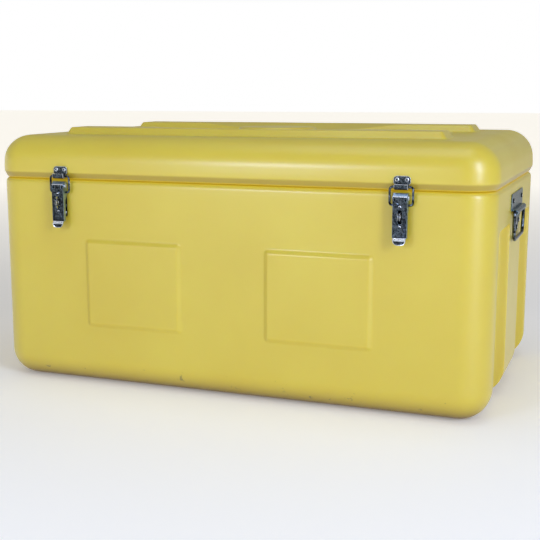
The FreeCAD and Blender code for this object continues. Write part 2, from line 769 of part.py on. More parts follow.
def latch_keeper():
    """Riveted plate on the lid whose lower end curls up into the hook."""
    back_y = base_front_y - lid_overhang
    shoulder_z = keeper_rivet_z - keeper_ear_radius
    top_z = keeper_rivet_z + keeper_ear_radius
    points = [(-keeper_half_width, hook_centre_z), (keeper_half_width, hook_centre_z),
              (keeper_half_width, shoulder_z - keeper_shoulder_drop, keeper_shoulder_round),
              (keeper_ear_half_width, shoulder_z, keeper_shoulder_round),
              (keeper_ear_half_width, top_z, keeper_ear_radius),
              (-keeper_ear_half_width, top_z, keeper_ear_radius),
              (-keeper_ear_half_width, shoulder_z, keeper_shoulder_round),
              (-keeper_half_width, shoulder_z - keeper_shoulder_drop, keeper_shoulder_round)]
    flat = plate(points, lambda a, b: V(a, back_y, b), V(0, -keeper_sheet, 0))
    outer = hook_inner_radius + keeper_sheet
    lip_z = hook_centre_z + hook_lip_rise
    span = (HALF_TURN, HALF_TURN + QUARTER_TURN, FULL_TURN)
    centre = (hook_centre_out, hook_centre_z)
    edges = [arc_through(centre, outer, span, side_view),
             Part.LineSegment(side_view(hook_centre_out + outer, hook_centre_z),
                              side_view(hook_centre_out + outer, lip_z)).toShape(),
             Part.LineSegment(side_view(hook_centre_out + outer, lip_z),
                              side_view(hook_centre_out + hook_inner_radius, lip_z)).toShape(),
             Part.LineSegment(side_view(hook_centre_out + hook_inner_radius, lip_z),
                              side_view(hook_centre_out + hook_inner_radius, hook_centre_z)).toShape(),
             arc_through(centre, hook_inner_radius, span[::-1], side_view),
             Part.LineSegment(side_view(hook_centre_out - hook_inner_radius, hook_centre_z),
                              side_view(hook_centre_out - outer, hook_centre_z)).toShape()]
    hook = Part.Face(Part.Wire(edges)).extrude(V(2 * keeper_half_width, 0, 0))
    hook.translate(V(-keeper_half_width, 0, 0))
    return cut(fuse([flat, hook]), holes_at(keeper_seats, FRONT, keeper_sheet))


def end_view(out, z):
    """A point of a handle's side view, by its distance out from the right end wall."""
    return V(base_end_x + out, 0, z)


def hood_band(start, end, half_width):
    """Part of the rolled sheet round the bail's top bar, between two angles."""
    middle = (start + end) * HALF
    centre = (handle_axis_out, handle_z)
    ends = []
    for angle in (end, start):
        turn = math.radians(angle)
        pair = [end_view(centre[0] + r * math.cos(turn), centre[1] + r * math.sin(turn))
                for r in (hood_outer_radius, hood_inner_radius)]
        ends.append(pair)
    edges = [arc_through(centre, hood_outer_radius, (start, middle, end), end_view),
             Part.LineSegment(ends[0][0], ends[0][1]).toShape(),
             arc_through(centre, hood_inner_radius, (end, middle, start), end_view),
             Part.LineSegment(ends[1][1], ends[1][0]).toShape()]
    band = Part.Face(Part.Wire(edges)).extrude(V(0, 2 * half_width, 0))
    band.translate(V(0, -half_width, 0))
    return band


def handle_plate():
    """Pressed plate: riveted flange, hood rolled over the bail's bar, and a tongue back to the wall."""
    seam_height = math.sqrt(hood_outer_radius ** 2 - (handle_axis_out - handle_sheet) ** 2)
    start = math.degrees(math.atan2(seam_height, handle_sheet - handle_axis_out))
    low_z = handle_z + hood_inner_radius * math.sin(math.radians(start))
    points = box_points(-plate_half_width, plate_half_width, low_z, plate_top_z, plate_corner)
    flange = plate(points, lambda a, b: V(base_end_x, a, b), V(handle_sheet, 0, 0))
    hood = hood_band(start + hood_start_turn, -hood_end_turn, hood_half_width)
    roll = hood_band(-hood_end_turn, -QUARTER_TURN, tongue_half_width)
    low_out = handle_axis_out
    side = [(low_out, handle_z - hood_outer_radius), (handle_sheet, tongue_wall_z),
            (handle_sheet, tongue_low_z), (0, tongue_low_z), (0, tongue_wall_z),
            (low_out, handle_z - hood_inner_radius)]
    strip = Part.Face(outline(side, end_view)).extrude(V(0, 2 * tongue_half_width, 0))
    strip.translate(V(0, -tongue_half_width, 0))
    foot = outline([(-tongue_low_half_width, tongue_low_z, tongue_corner),
                    (tongue_low_half_width, tongue_low_z, tongue_corner),
                    (tongue_half_width, tongue_shoulder_z, tongue_corner), (tongue_half_width, handle_z),
                    (-tongue_half_width, handle_z), (-tongue_half_width, tongue_shoulder_z, tongue_corner)],
                   lambda a, b: V(base_end_x, a, b))
    strip = strip.common(Part.Face(foot).extrude(V(2 * hood_outer_radius, 0, 0)))
    wall_side = Part.makeBox(overrun, 2 * plate_half_width, plate_top_z - tongue_low_z,
                             V(base_end_x - overrun, -plate_half_width, tongue_low_z))
    handle = cut(fuse([flange, hood, roll, strip]), [wall_side])
    return cut(handle, holes_at(handle_seats, RIGHT, handle_sheet))


def handle_bail():
    """Wire bail that hangs from the hood; its ends meet inside the roll."""
    x = base_end_x + handle_axis_out
    low = handle_z - bail_drop
    waist = handle_z - bail_waist_drop
    points = [(-bail_end_gap * HALF, handle_z), (-bail_half_width, handle_z, bail_top_bend),
              (-bail_half_width, waist, bail_waist_bend), (-bail_bottom_half_width, low, bail_bottom_bend),
              (bail_bottom_half_width, low, bail_bottom_bend), (bail_half_width, waist, bail_waist_bend),
              (bail_half_width, handle_z, bail_top_bend), (bail_end_gap * HALF, handle_z)]
    edges = bent_path(points, lambda a, b: V(x, a, b))
    return wire_sweep(edges, handle_wire_radius, V(x, -bail_end_gap * HALF, handle_z), V(0, -1, 0))


def save(name, shapes):
    """Write one named piece, or a group of like pieces, as STEP."""
    shape = shapes[0] if len(shapes) == 1 else Part.makeCompound(shapes)
    shape.exportStep("parts/" + name + ".step")


def make():
    """Build and write every piece."""
    os.makedirs("parts", exist_ok=True)
    save("base_shell", [base_shell()])
    save("lid_shell", [lid_shell()])
    save("lid_seal", [seal_ring(seal_side_gap, parting_height + seal_face_gap, lid_low_z + seal_depth)])

    at_hinge = {"hinge_lower_leaf": [hinge_lower_leaf()], "hinge_upper_leaf": [hinge_upper_leaf()],
                "hinge_pin": [hinge_pin()],
                "hinge_lower_rivets": rivets_at(lower_leaf_seats, BACK, leaf_thickness),
                "hinge_upper_rivets": rivets_at(upper_leaf_seats, BACK, leaf_thickness)}
    at_latch = {"latch_bracket": [latch_bracket()], "latch_staple": [latch_staple()],
                "latch_pin": [latch_pin()], "latch_lever": [latch_lever()],
                "latch_loop": [latch_loop()], "latch_keeper": [latch_keeper()],
                "bracket_rivets": rivets_at(bracket_seats, FRONT, bracket_thickness),
                "keeper_rivets": rivets_at(keeper_seats, FRONT, keeper_sheet)}
    for side, word in ((-1, "left"), (1, "right")):
        for name, shapes in at_hinge.items():
            save(name + "_" + word, fitted(shapes, side * hinge_x))
        for name, shapes in at_latch.items():
            save(name + "_" + word, fitted(shapes, side * latch_x))

    at_end = {"handle_plate": [handle_plate()], "handle_bail": [handle_bail()],
              "handle_rivets": rivets_at(handle_seats, RIGHT, handle_sheet)}
    for name, shapes in at_end.items():
        placed = fitted(shapes, 0)
        save(name + "_right", placed)
        save(name + "_left", [mirrored(shape) for shape in placed])


make()
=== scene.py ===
"""Rotomoulded polyethylene toolbox with zinc-plated latches, handles and hinges, on a pale studio floor."""

import logging
import math
from dataclasses import dataclass, field
from enum import Enum
from typing import Callable, Iterable, Sequence

import bmesh
import bpy
from mathutils import Euler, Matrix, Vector, noise


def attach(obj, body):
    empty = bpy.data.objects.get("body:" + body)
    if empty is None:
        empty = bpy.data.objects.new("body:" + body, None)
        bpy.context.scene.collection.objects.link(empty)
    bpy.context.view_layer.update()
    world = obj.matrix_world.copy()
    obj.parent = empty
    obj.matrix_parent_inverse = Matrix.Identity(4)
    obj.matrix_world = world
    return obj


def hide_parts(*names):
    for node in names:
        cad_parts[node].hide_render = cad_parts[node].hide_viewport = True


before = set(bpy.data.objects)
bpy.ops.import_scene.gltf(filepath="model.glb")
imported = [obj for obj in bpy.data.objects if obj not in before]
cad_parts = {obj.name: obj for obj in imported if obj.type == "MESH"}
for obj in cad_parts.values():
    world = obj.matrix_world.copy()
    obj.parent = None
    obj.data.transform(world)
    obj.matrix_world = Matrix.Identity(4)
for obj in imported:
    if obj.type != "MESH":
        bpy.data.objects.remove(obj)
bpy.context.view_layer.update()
log = logging.getLogger("toolbox")

MM = 0.001
HALF = 0.5
JOIN = 0.00001
UP = (0.0, 0.0, 1.0)
FRONT = (0.0, -1.0, 0.0)
BACK = (0.0, 1.0, 0.0)
ENDS = ((1.0, 0.0, 0.0), (-1.0, 0.0, 0.0))

# Sockets of a colour blend that share their names with others: its two colours and its result.
BLEND_FIRST, BLEND_SECOND, BLENDED = 6, 7, 2
# The sRGB curve: where its straight start ends, that start's slope, and the lift and power of the rest.
SRGB_KNEE, SRGB_SLOPE, SRGB_LIFT, SRGB_POWER = 0.04045, 12.92, 0.055, 2.4
# Angles between faces, in degrees: triangles of one flat face, a soft fold, and an edge that is broken.
FLAT_DEG, FOLD_DEG, EDGE_DEG = 0.5, 32.0, 40.0
# Shares of Y in a normal: past the first a face no longer shows from the front, under the second it faces it.
TURNED_BACK, FACES_FRONT = 0.3, -0.9

Material = bpy.types.Material
Tree = bpy.types.NodeTree
Socket = bpy.types.NodeSocket
Point = tuple[float, float, float]
# A direction, the lowest and highest share of it in a face's normal, and the finish of such faces: a painted
# highlight.
Tilt = tuple[Point, float, float, Material]
# The X and Y that a corner's radius grows from, and the direction that it grows in.
Column = tuple[float, float, float, float]
# How far a row of points lies in from the wall, and its height.
Ring = tuple[float, float]
# Where closer grid lines start and end, and their step.
Stretch = tuple[float, float, float]


class Side(Enum):
    """The two ends of the box, by the sign of X."""

    LEFT = -1
    RIGHT = 1

    @property
    def word(self) -> str:
        """The side's word in the names of CAD nodes and bodies."""
        return self.name.lower()


def linear(hex_code: str) -> tuple[float, float, float, float]:
    """Turns an sRGB hex colour into the linear colour that shaders use.

    Args:
        hex_code: six hex digits, red first.

    Returns:
        Red, green, blue and an alpha of one.
    """
    parts = []
    for at in (0, 2, 4):
        value = int(hex_code[at:at + 2], 16) / 255
        curve = ((value + SRGB_LIFT) / (1 + SRGB_LIFT)) ** SRGB_POWER
        parts.append(value / SRGB_SLOPE if value <= SRGB_KNEE else curve)
    return parts[0], parts[1], parts[2], 1.0


def feed(tree: Tree, node: bpy.types.Node, inputs: dict) -> None:
    """Fills a node's sockets.

    Args:
        tree: the material's node tree.
        node: the node.
        inputs: socket name or number to a value, or to another node's output socket.
    """
    for key, value in inputs.items():
        if isinstance(value, Socket):
            tree.links.new(value, node.inputs[key])
        else:
            node.inputs[key].default_value = value


def add_node(tree: Tree, kind: str, inputs: dict | None = None, **settings: object) -> bpy.types.Node:
    """Adds one shader node, with its settings, values and links.

    Args:
        tree: the material's node tree.
        kind: the node's type name.
        inputs: socket name or number to a value, or to another node's output socket.
        settings: properties of the node itself.

    Returns:
        The new node.
    """
    node = tree.nodes.new(kind)
    for name, value in settings.items():
        setattr(node, name, value)
    feed(tree, node, inputs or {})
    return node


def start_material(name: str) -> tuple[Material, Tree, bpy.types.Node, Socket]:
    """Makes an empty material with its shader and object coordinates.

    Args:
        name: the material's name.

    Returns:
        The material, its tree, its Principled shader and the Object coordinate socket.
    """
    material = bpy.data.materials.new(name)
    material.use_nodes = True
    tree = material.node_tree
    tree.nodes.clear()
    shader = add_node(tree, "ShaderNodeBsdfPrincipled")
    add_node(tree, "ShaderNodeOutputMaterial", {"Surface": shader.outputs[0]})
    place = add_node(tree, "ShaderNodeTexCoord").outputs["Object"]
    return material, tree, shader, place


@dataclass(frozen=True)
class MouldedPolyethylene:
    """Rotomoulded polyethylene: waxy and softly shiny, with a fine orange peel and a slow drift of colour.

    The eye gets a milky sheen that dust dulls on top, painted shade and a painted glow in the parting groove,
    painted shade on the bottom round as it turns down, and a few dark scuffs low down. Real orange peel is too fine
    to show here, so it is drawn coarser.
    """

    name: str = "rotomoulded_polyethylene"
    light: str = "DAC63B"
    deep: str = "D0B629"
    drift_mm: float = 150.0
    scuff: str = "6A5E2A"
    scuff_mm: float = 14.0
    scuff_top_mm: float = 46.0
    scuff_from: tuple[float, float] = (0.63, 0.71)
    # Painted shade: a brown that darkens the bottom round as it turns down to the floor.
    underside_shade: str = "7A5C0E"
    underside_shade_share: float = 0.9
    underside_shade_facing: tuple[float, float] = (-0.05, -0.88)
    underside_shade_mm: tuple[float, float] = (48.0, 60.0)
    # Painted shade deepens the colour in the parting groove.
    groove_shade: str = "A88C10"
    groove_shade_share: float = 0.8
    groove_mm: tuple[float, float, float, float] = (347.5, 350.0, 359.0, 362.0)
    # A painted glow lights the seam, in this band.
    seam_mm: tuple[float, float, float, float] = (346.5, 349.5, 351.5, 353.5)
    seam_painted_glow: float = 0.45
    peel_mm: float = 2.6
    peel_depth_mm: float = 0.12
    peel_strength: float = 0.12
    ior: float = 1.5
    roughness: float = 0.42
    roughness_drift: tuple[float, float] = (-0.05, 0.07)
    sheen_level: float = 0.8
    skin_gloss: float = 0.55
    skin_roughness: float = 0.25
    dust_gloss: float = 0.08
    dust_facing: tuple[float, float] = (0.7, 0.95)
    glow_mm: float = 7.0
    glow_weight: float = 0.35
    glow_reach: tuple[float, float, float] = (1.0, 0.7, 0.12)

    def scuffs(self, tree: Tree, place: Socket, height: Socket) -> Socket:
        """Dark marks where the bottom edge has rubbed on floors.

        Args:
            tree: the material's node tree.
            place: the Object coordinate socket.
            height: its Z.

        Returns:
            A factor of 1 on the marks and 0 elsewhere.
        """
        top = self.scuff_top_mm * MM
        low = add_node(tree, "ShaderNodeMapRange", {"Value": height, "From Min": top, "From Max": top * HALF})
        marks = add_node(tree, "ShaderNodeTexNoise", {"Vector": place, "Scale": 1 / (self.scuff_mm * MM),
                                                      "Detail": 5.0, "Roughness": 0.65})
        none, full = self.scuff_from
        spots = add_node(tree, "ShaderNodeMapRange", {"Value": marks.outputs["Fac"], "From Min": none,
                                                      "From Max": full})
        return add_node(tree, "ShaderNodeMath", {0: low.outputs[0], 1: spots.outputs[0]},
                        operation="MULTIPLY").outputs[0]

    def band(self, tree: Tree, height: Socket, levels: tuple[float, float, float, float]) -> Socket:
        """A level band round the parting groove, for the painted shade and painted glow that stand in for light
        bouncing between the two walls.

        Args:
            tree: the material's node tree.
            height: the Object coordinate's Z.
            levels: heights where the band starts, is full, starts to ebb and ends, in millimetres.

        Returns:
            A factor of 1 in the band and 0 elsewhere.
        """
        start, full, ebb, end = (level * MM for level in levels)
        rise = add_node(tree, "ShaderNodeMapRange", {"Value": height, "From Min": start, "From Max": full})
        drop = add_node(tree, "ShaderNodeMapRange", {"Value": height, "From Min": end, "From Max": ebb})
        return add_node(tree, "ShaderNodeMath", {0: rise.outputs[0], 1: drop.outputs[0]},
                        operation="MULTIPLY").outputs[0]

    def underside_mask(self, tree: Tree, height: Socket, facing: Socket) -> Socket:
        """Painted shade on the bottom round, which grows as the surface turns down to the floor.

        Args:
            tree: the material's node tree.
            height: the Object coordinate's Z.
            facing: the normal's Z.

        Returns:
            A factor of 0 on the walls that rises to underside_shade_share on the underside.
        """
        level, down = self.underside_shade_facing
        turned = add_node(tree, "ShaderNodeMapRange", {"Value": facing, "From Min": level, "From Max": down})
        full, none = self.underside_shade_mm
        low = add_node(tree, "ShaderNodeMapRange", {"Value": height, "From Min": full * MM, "From Max": none * MM,
                                                    "To Min": self.underside_shade_share, "To Max": 0.0})
        curve = add_node(tree, "ShaderNodeMath", {0: turned.outputs[0], 1: turned.outputs[0]}, operation="MULTIPLY")
        return add_node(tree, "ShaderNodeMath", {0: curve.outputs[0], 1: low.outputs[0]},
                        operation="MULTIPLY").outputs[0]

    def material(self) -> Material:
        """Builds the material.

        Returns:
            The material.
        """
        material, tree, shader, place = start_material(self.name)
        height = add_node(tree, "ShaderNodeSeparateXYZ", {0: place}).outputs["Z"]
        normal = add_node(tree, "ShaderNodeTexCoord").outputs["Normal"]
        facing = add_node(tree, "ShaderNodeSeparateXYZ", {0: normal}).outputs["Z"]
        drift = add_node(tree, "ShaderNodeTexNoise", {"Vector": place, "Scale": 1 / (self.drift_mm * MM),
                                                      "Detail": 2.0}).outputs["Fac"]
        # Painted shade: the parting groove's band and the bottom round's underside darken the colour.
        hollow = add_node(tree, "ShaderNodeMath", {0: self.band(tree, height, self.groove_mm), 1: self.groove_shade_share},
                          operation="MULTIPLY").outputs[0]
        underside_mask = self.underside_mask(tree, height, facing)
        colour = linear(self.light)
        for share, tint in ((drift, self.deep), (hollow, self.groove_shade), (underside_mask, self.underside_shade),
                            (self.scuffs(tree, place, height), self.scuff)):
            colour = add_node(tree, "ShaderNodeMix", {0: share, BLEND_FIRST: colour, BLEND_SECOND: linear(tint)},
                              data_type="RGBA").outputs[BLENDED]
        peel = add_node(tree, "ShaderNodeTexNoise", {"Vector": place, "Scale": 1 / (self.peel_mm * MM), "Detail": 3.0})
        bump = add_node(tree, "ShaderNodeBump", {"Strength": self.peel_strength, "Distance": self.peel_depth_mm * MM,
                                                 "Height": peel.outputs["Fac"]})
        smooth, rough = self.roughness_drift
        gloss = add_node(tree, "ShaderNodeMapRange", {"Value": drift, "To Min": self.roughness + smooth,
                                                      "To Max": self.roughness + rough})
        wall, level = self.dust_facing
        skin = add_node(tree, "ShaderNodeMapRange", {"Value": facing, "From Min": wall, "From Max": level,
                                                     "To Min": self.skin_gloss, "To Max": self.dust_gloss})
        clean = add_node(tree, "ShaderNodeMath", {0: skin.outputs[0], 1: underside_mask}, operation="SUBTRACT", use_clamp=True)
        # A painted glow along the seam.
        painted_seam_glow = add_node(tree, "ShaderNodeMath", {0: self.band(tree, height, self.seam_mm), 1: self.seam_painted_glow},
                           operation="MULTIPLY")
        feed(tree, shader, {
            "Base Color": colour, "Normal": bump.outputs[0], "Roughness": gloss.outputs[0], "IOR": self.ior,
            "Specular IOR Level": self.sheen_level, "Coat Weight": clean.outputs[0],
            "Coat Roughness": self.skin_roughness, "Subsurface Weight": self.glow_weight,
            "Subsurface Radius": self.glow_reach, "Subsurface Scale": self.glow_mm * MM,
            "Emission Color": linear(self.groove_shade), "Emission Strength": painted_seam_glow.outputs[0]})
        return material


@dataclass(frozen=True)
class ZincPlatedSteel:
    """Bright zinc plate on pressed steel: a dark bluish mirror, mottled by its crystals and by handling.

    The eye gets a dark face, the room's reflection painted darker by a dark tint, and white lines where an edge
    catches a lamp, brighter on edges given a painted highlight finish. Real crystals are too fine to show here, so
    they are drawn coarser.
    """

    name: str = "zinc_plated_pressed_steel"
    bright: str = "5D6771"
    dull: str = "12181E"
    patch_mm: float = 2.6
    crystal_mm: float = 1.5
    crystal_depth_mm: float = 0.02
    crystal_strength: float = 0.1
    bright_from: tuple[float, float] = (0.5, 1.0)
    rough_from: tuple[float, float] = (0.3, 0.7)
    roughness: float = 0.16
    roughness_drift: tuple[float, float] = (-0.04, 0.12)
    metal: float = 1.0

    def material(self) -> Material:
        """Builds the material.

        Returns:
            The material.
        """
        material, tree, shader, place = start_material(self.name)
        patch = add_node(tree, "ShaderNodeTexNoise", {"Vector": place, "Scale": 1 / (self.patch_mm * MM),
                                                      "Detail": 4.0, "Roughness": 0.6}).outputs["Fac"]
        crystal = add_node(tree, "ShaderNodeTexVoronoi", {"Vector": place, "Scale": 1 / (self.crystal_mm * MM)})
        grey = add_node(tree, "ShaderNodeSeparateColor", {"Color": crystal.outputs["Color"]}).outputs[0]
        both = add_node(tree, "ShaderNodeMath", {0: patch, 1: grey, 2: patch}, operation="MULTIPLY_ADD")
        none, full = self.bright_from
        share = add_node(tree, "ShaderNodeMapRange", {"Value": both.outputs[0], "From Min": none, "From Max": full})
        tint = add_node(tree, "ShaderNodeMix", {0: share.outputs[0], BLEND_FIRST: linear(self.dull),
                                                BLEND_SECOND: linear(self.bright)}, data_type="RGBA")
        bump = add_node(tree, "ShaderNodeBump", {"Strength": self.crystal_strength,
                                                 "Distance": self.crystal_depth_mm * MM, "Height": grey})
        low, high = self.rough_from
        smooth, rough = self.roughness_drift
        gloss = add_node(tree, "ShaderNodeMapRange", {"Value": patch, "From Min": low, "From Max": high,
                                                      "To Min": self.roughness + smooth,
                                                      "To Max": self.roughness + rough})
        feed(tree, shader, {"Base Color": tint.outputs[BLENDED], "Normal": bump.outputs[0],
                            "Roughness": gloss.outputs[0], "Metallic": self.metal})
        return material


@dataclass(frozen=True)
class ExtrudedRubber:
    """Black extruded rubber for the seal. The eye gets a dull black with a faint grey bloom."""

    name: str = "extruded_rubber"
    dark: str = "1B1B1C"
    bloom: str = "2C2C2E"
    bloom_mm: float = 9.0
    roughness: float = 0.75

    def material(self) -> Material:
        """Builds the material.

        Returns:
            The material.
        """
        material, tree, shader, place = start_material(self.name)
        bloom = add_node(tree, "ShaderNodeTexNoise", {"Vector": place, "Scale": 1 / (self.bloom_mm * MM),
                                                      "Detail": 4.0})
        tint = add_node(tree, "ShaderNodeMix", {0: bloom.outputs["Fac"], BLEND_FIRST: linear(self.dark),
                                                BLEND_SECOND: linear(self.bloom)}, data_type="RGBA")
        feed(tree, shader, {"Base Color": tint.outputs[BLENDED], "Roughness": self.roughness})
        return material


@dataclass(frozen=True)
class PaintedFloor:
    """Matt painted board. The eye gets a plain warm white that fades into the light away from the object."""

    name: str = "pale_floor"
    light: str = "FFFBF2"
    deep: str = "FDF9F0"
    cloud_mm: float = 1250.0
    roughness: float = 0.8
    glow: tuple[float, float] = (0.12, 0.6)
    glow_reach: tuple[float, float] = (0.8, 4.0)
    glow_lean: float = 0.09
    glow_edge: tuple[float, float] = (0.47, 0.87)

    def material(self) -> Material:
        """Builds the material.

        Returns:
            The material.
        """
        material, tree, shader, place = start_material(self.name)
        cloud = add_node(tree, "ShaderNodeTexNoise", {"Vector": place, "Scale": 1 / (self.cloud_mm * MM)})
        tint = add_node(tree, "ShaderNodeMix", {0: cloud.outputs["Fac"], BLEND_FIRST: linear(self.light),
                                                BLEND_SECOND: linear(self.deep)}, data_type="RGBA")
        far = add_node(tree, "ShaderNodeVectorMath", {0: place}, operation="LENGTH")
        start, end = self.glow_reach
        fade = add_node(tree, "ShaderNodeMapRange", {"Value": far.outputs["Value"], "From Min": start,
                                                     "From Max": end})
        way = add_node(tree, "ShaderNodeSeparateXYZ", {0: place})
        aside = add_node(tree, "ShaderNodeMath", {0: way.outputs["Y"], 1: self.glow_lean, 2: way.outputs["X"]},
                         operation="MULTIPLY_ADD")
        full, none = self.glow_edge
        kept = add_node(tree, "ShaderNodeMapRange", {"Value": aside.outputs[0], "From Min": none, "From Max": full})
        share = add_node(tree, "ShaderNodeMath", {0: fade.outputs[0], 1: kept.outputs[0]}, operation="MULTIPLY")
        least, most = self.glow
        glow = add_node(tree, "ShaderNodeMapRange", {"Value": share.outputs[0], "To Min": least, "To Max": most})
        feed(tree, shader, {"Base Color": tint.outputs[BLENDED], "Roughness": self.roughness,
                            "Emission Color": linear(self.light), "Emission Strength": glow.outputs[0]})
        return material


def once(finish: type, **values: object) -> Material:
    """A dataclass field whose material is built from a finish when its owner is made."""
    return field(default_factory=lambda: finish(**values).material())


@dataclass
class Finishes:
    """The finishes of the box, each made once."""

    plastic: Material = once(MouldedPolyethylene)
    steel: Material = once(ZincPlatedSteel)
    # Rivets: the eye gets pale satin heads.
    rivet: Material = once(ZincPlatedSteel, name="zinc_plated_rivet_steel", bright="F0F3F5", dull="AEB8BF",
                           patch_mm=2.5, roughness=0.2, metal=0.6)
    # Edges, up-facing steps, the lever tip's rim and the handle rivets' stems: partly handling wear, partly a painted
    # highlight; the eye gets white lines.
    wear_and_highlight: Material = once(ZincPlatedSteel, name="zinc_wear_and_painted_highlight", bright="FFFFFF", dull="EEF2F5",
                            roughness=0.24, metal=0.85)
    # Drawn wire has longer patches, and its tint is set dark as a painted reflection of a dim room: the eye gets a
    # dark, even rod with a clean highlight.
    wire: Material = once(ZincPlatedSteel, name="zinc_plated_wire", bright="79828A", dull="0A0C0F", patch_mm=6.0,
                          crystal_mm=4.5, roughness=0.18)
    # Faces turned up, the lever's ends and some broken edges: a painted blue highlight; the eye gets a light blue
    # grey.
    painted_blue_highlight: Material = once(ZincPlatedSteel, name="zinc_painted_blue_highlight", bright="A9BCCB", dull="7C93A6",
                         roughness=0.3)
    # Blue passivated plate: the eye gets a dusky teal.
    teal: Material = once(ZincPlatedSteel, name="zinc_plate_blue_passivated", bright="627F8A", dull="2C424B",
                          patch_mm=6.0, roughness=0.24)
    # Snapped stems, darkened as painted shade in their hollows, and the handle rivets' domes, painted dark as their
    # shade gap: the eye gets a dark, dull spot.
    dark_stem_and_shade: Material = once(ZincPlatedSteel, name="rivet_stem_and_painted_shade", bright="2A2F33", dull="0E1113", roughness=0.5)
    rubber: Material = once(ExtrudedRubber)


def ease(value: float) -> float:
    """A soft step from 0 to 1."""
    value = min(max(value, 0.0), 1.0)
    return value * value * (3 - 2 * value)


def box_distance(u: float, v: float, half_u: float, half_v: float, radius: float) -> float:
    """Signed distance to a rounded rectangle about the origin, negative inside.

    Args:
        u: first coordinate.
        v: second coordinate.
        half_u: half size along the first.
        half_v: half size along the second.
        radius: corner radius.

    Returns:
        The distance, in the same unit.
    """
    du = abs(u) - half_u + radius
    dv = abs(v) - half_v + radius
    return math.hypot(max(du, 0), max(dv, 0)) + min(max(du, dv), 0) - radius


def sway(point: Vector, amount: float, size: float) -> float:
    """How far a moulded surface has drawn in at a point: from 0 to amount, in swells of a size in millimetres."""
    return (noise.noise(point / size) + 1) * HALF * amount


def near_edge(at: float, out: int, stretches: Iterable[Stretch]) -> list[Stretch]:
    """Places stretches of closer grid lines by an edge.

    Args:
        at: the edge's place.
        out: the sign of the way out of the form that has the edge.
        stretches: start and end, outward from the edge, and step.

    Returns:
        The stretches, each from its lower end to its higher one.
    """
    return [(*sorted((at + out * start, at + out * end)), step) for start, end, step in stretches]


def lines(low: float, high: float, step: float, fine: Iterable[Stretch] = ()) -> list[float]:
    """Places for grid lines: even steps, with closer ones in some stretches.

    Args:
        low: first place.
        high: last place.
        step: widest distance between lines.
        fine: the stretches.

    Returns:
        The places in order, from low to high.
    """
    kept = [low, high]
    for start, end, gap in fine:
        count = max(1, round((end - start) / gap))
        kept += [start + (end - start) * i / count for i in range(count + 1)]
    places = [low]
    for place in sorted(kept):
        room = place - places[-1]
        if room < JOIN:
            continue
        count = max(1, math.ceil(room / step - HALF * HALF))
        places += [places[-1] + room / count * (i + 1) for i in range(count)] if count > 1 else [place]
    return places


def arc(centre_inset: float, centre_z: float, radius: float, start: float, end: float, count: int) -> list[Ring]:
    """Part of a section as an arc, in degrees; 0 points outward and 90 up.

    Args:
        centre_inset: the centre's distance in from the wall.
        centre_z: the centre's height.
        radius: the arc's radius.
        start: first angle.
        end: last angle.
        count: number of steps.

    Returns:
        Inset and height of each point.
    """
    points = []
    for i in range(count + 1):
        turn = math.radians(start + (end - start) * i / count)
        points.append((centre_inset - radius * math.cos(turn), centre_z + radius * math.sin(turn)))
    return points


def columns(half_x: float, half_y: float, radius: float, front: list[float], side: list[float],
            back: list[float], corner_steps: int) -> list[Column]:
    """Stations round a rounded rectangle: each is the point that its corner radius grows from, and a direction.

    Args:
        half_x: half length of the rectangle.
        half_y: half depth of the rectangle.
        radius: corner radius.
        front: X places along the front.
        side: Y places along each end.
        back: X places along the back.
        corner_steps: steps in each corner.

    Returns:
        The stations, the first one repeated at the end.
    """
    x, y = half_x - radius, half_y - radius
    stations: list[Column] = [(p, -y, 0, -1) for p in front]

    def turn(cx: float, cy: float, start: float) -> None:
        """Adds the stations of one corner.

        Args:
            cx: the corner's centre in X.
            cy: the corner's centre in Y.
            start: the direction that the corner starts from, in degrees.
        """
        for i in range(1, corner_steps):
            angle = math.radians(start + 90 * i / corner_steps)
            stations.append((cx, cy, math.cos(angle), math.sin(angle)))

    turn(x, -y, -90)
    stations += [(x, p, 1, 0) for p in side]
    turn(x, y, 0)
    stations += [(p, y, 0, 1) for p in reversed(back)]
    turn(-x, y, 90)
    stations += [(-x, p, -1, 0) for p in reversed(side)]
    turn(-x, -y, 180)
    return stations + stations[:1]


def wrap(bm: bmesh.types.BMesh, stations: list[Column], rings: list[Ring], radius: float,
         shape: Callable[[Vector, Column, int], Vector]) -> None:
    """Wraps a grid round the stations, one row of it for each ring, and closes its seam.

    Args:
        bm: the mesh to add to.
        stations: the places round the box.
        rings: inset and height of each row.
        radius: the corner radius that the insets count from.
        shape: moves each point, given its station and row.
    """
    across, up = len(stations) - 1, len(rings) - 1
    made = bmesh.ops.create_grid(bm, x_segments=across, y_segments=up, size=1)
    for vert in made["verts"]:
        station = stations[round((vert.co.x + 1) * HALF * across)]
        row = round((vert.co.y + 1) * HALF * up)
        inset, z = rings[row]
        reach = radius - inset
        point = Vector((station[0] + station[2] * reach, station[1] + station[3] * reach, z))
        vert.co = shape(point, station, row) * MM
    bmesh.ops.remove_doubles(bm, verts=made["verts"], dist=JOIN)


def spread(bm: bmesh.types.BMesh, xs: list[float], ys: list[float], shape: Callable[[float, float], float]) -> None:
    """Spreads a flat grid and lifts each point of it.

    Args:
        bm: the mesh to add to.
        xs: X places of the lines.
        ys: Y places of the lines.
        shape: height at a place.
    """
    made = bmesh.ops.create_grid(bm, x_segments=len(xs) - 1, y_segments=len(ys) - 1, size=1)
    for vert in made["verts"]:
        x = xs[round((vert.co.x + 1) * HALF * (len(xs) - 1))]
        y = ys[round((vert.co.y + 1) * HALF * (len(ys) - 1))]
        vert.co = Vector((x, y, shape(x, y))) * MM


def put(name: str, data: bpy.types.ID) -> bpy.types.Object:
    """Puts a mesh, camera or light into the scene.

    Args:
        name: the object's name.
        data: what it shows.

    Returns:
        The new object.
    """
    thing = bpy.data.objects.new(name, data)
    bpy.context.scene.collection.objects.link(thing)
    return thing


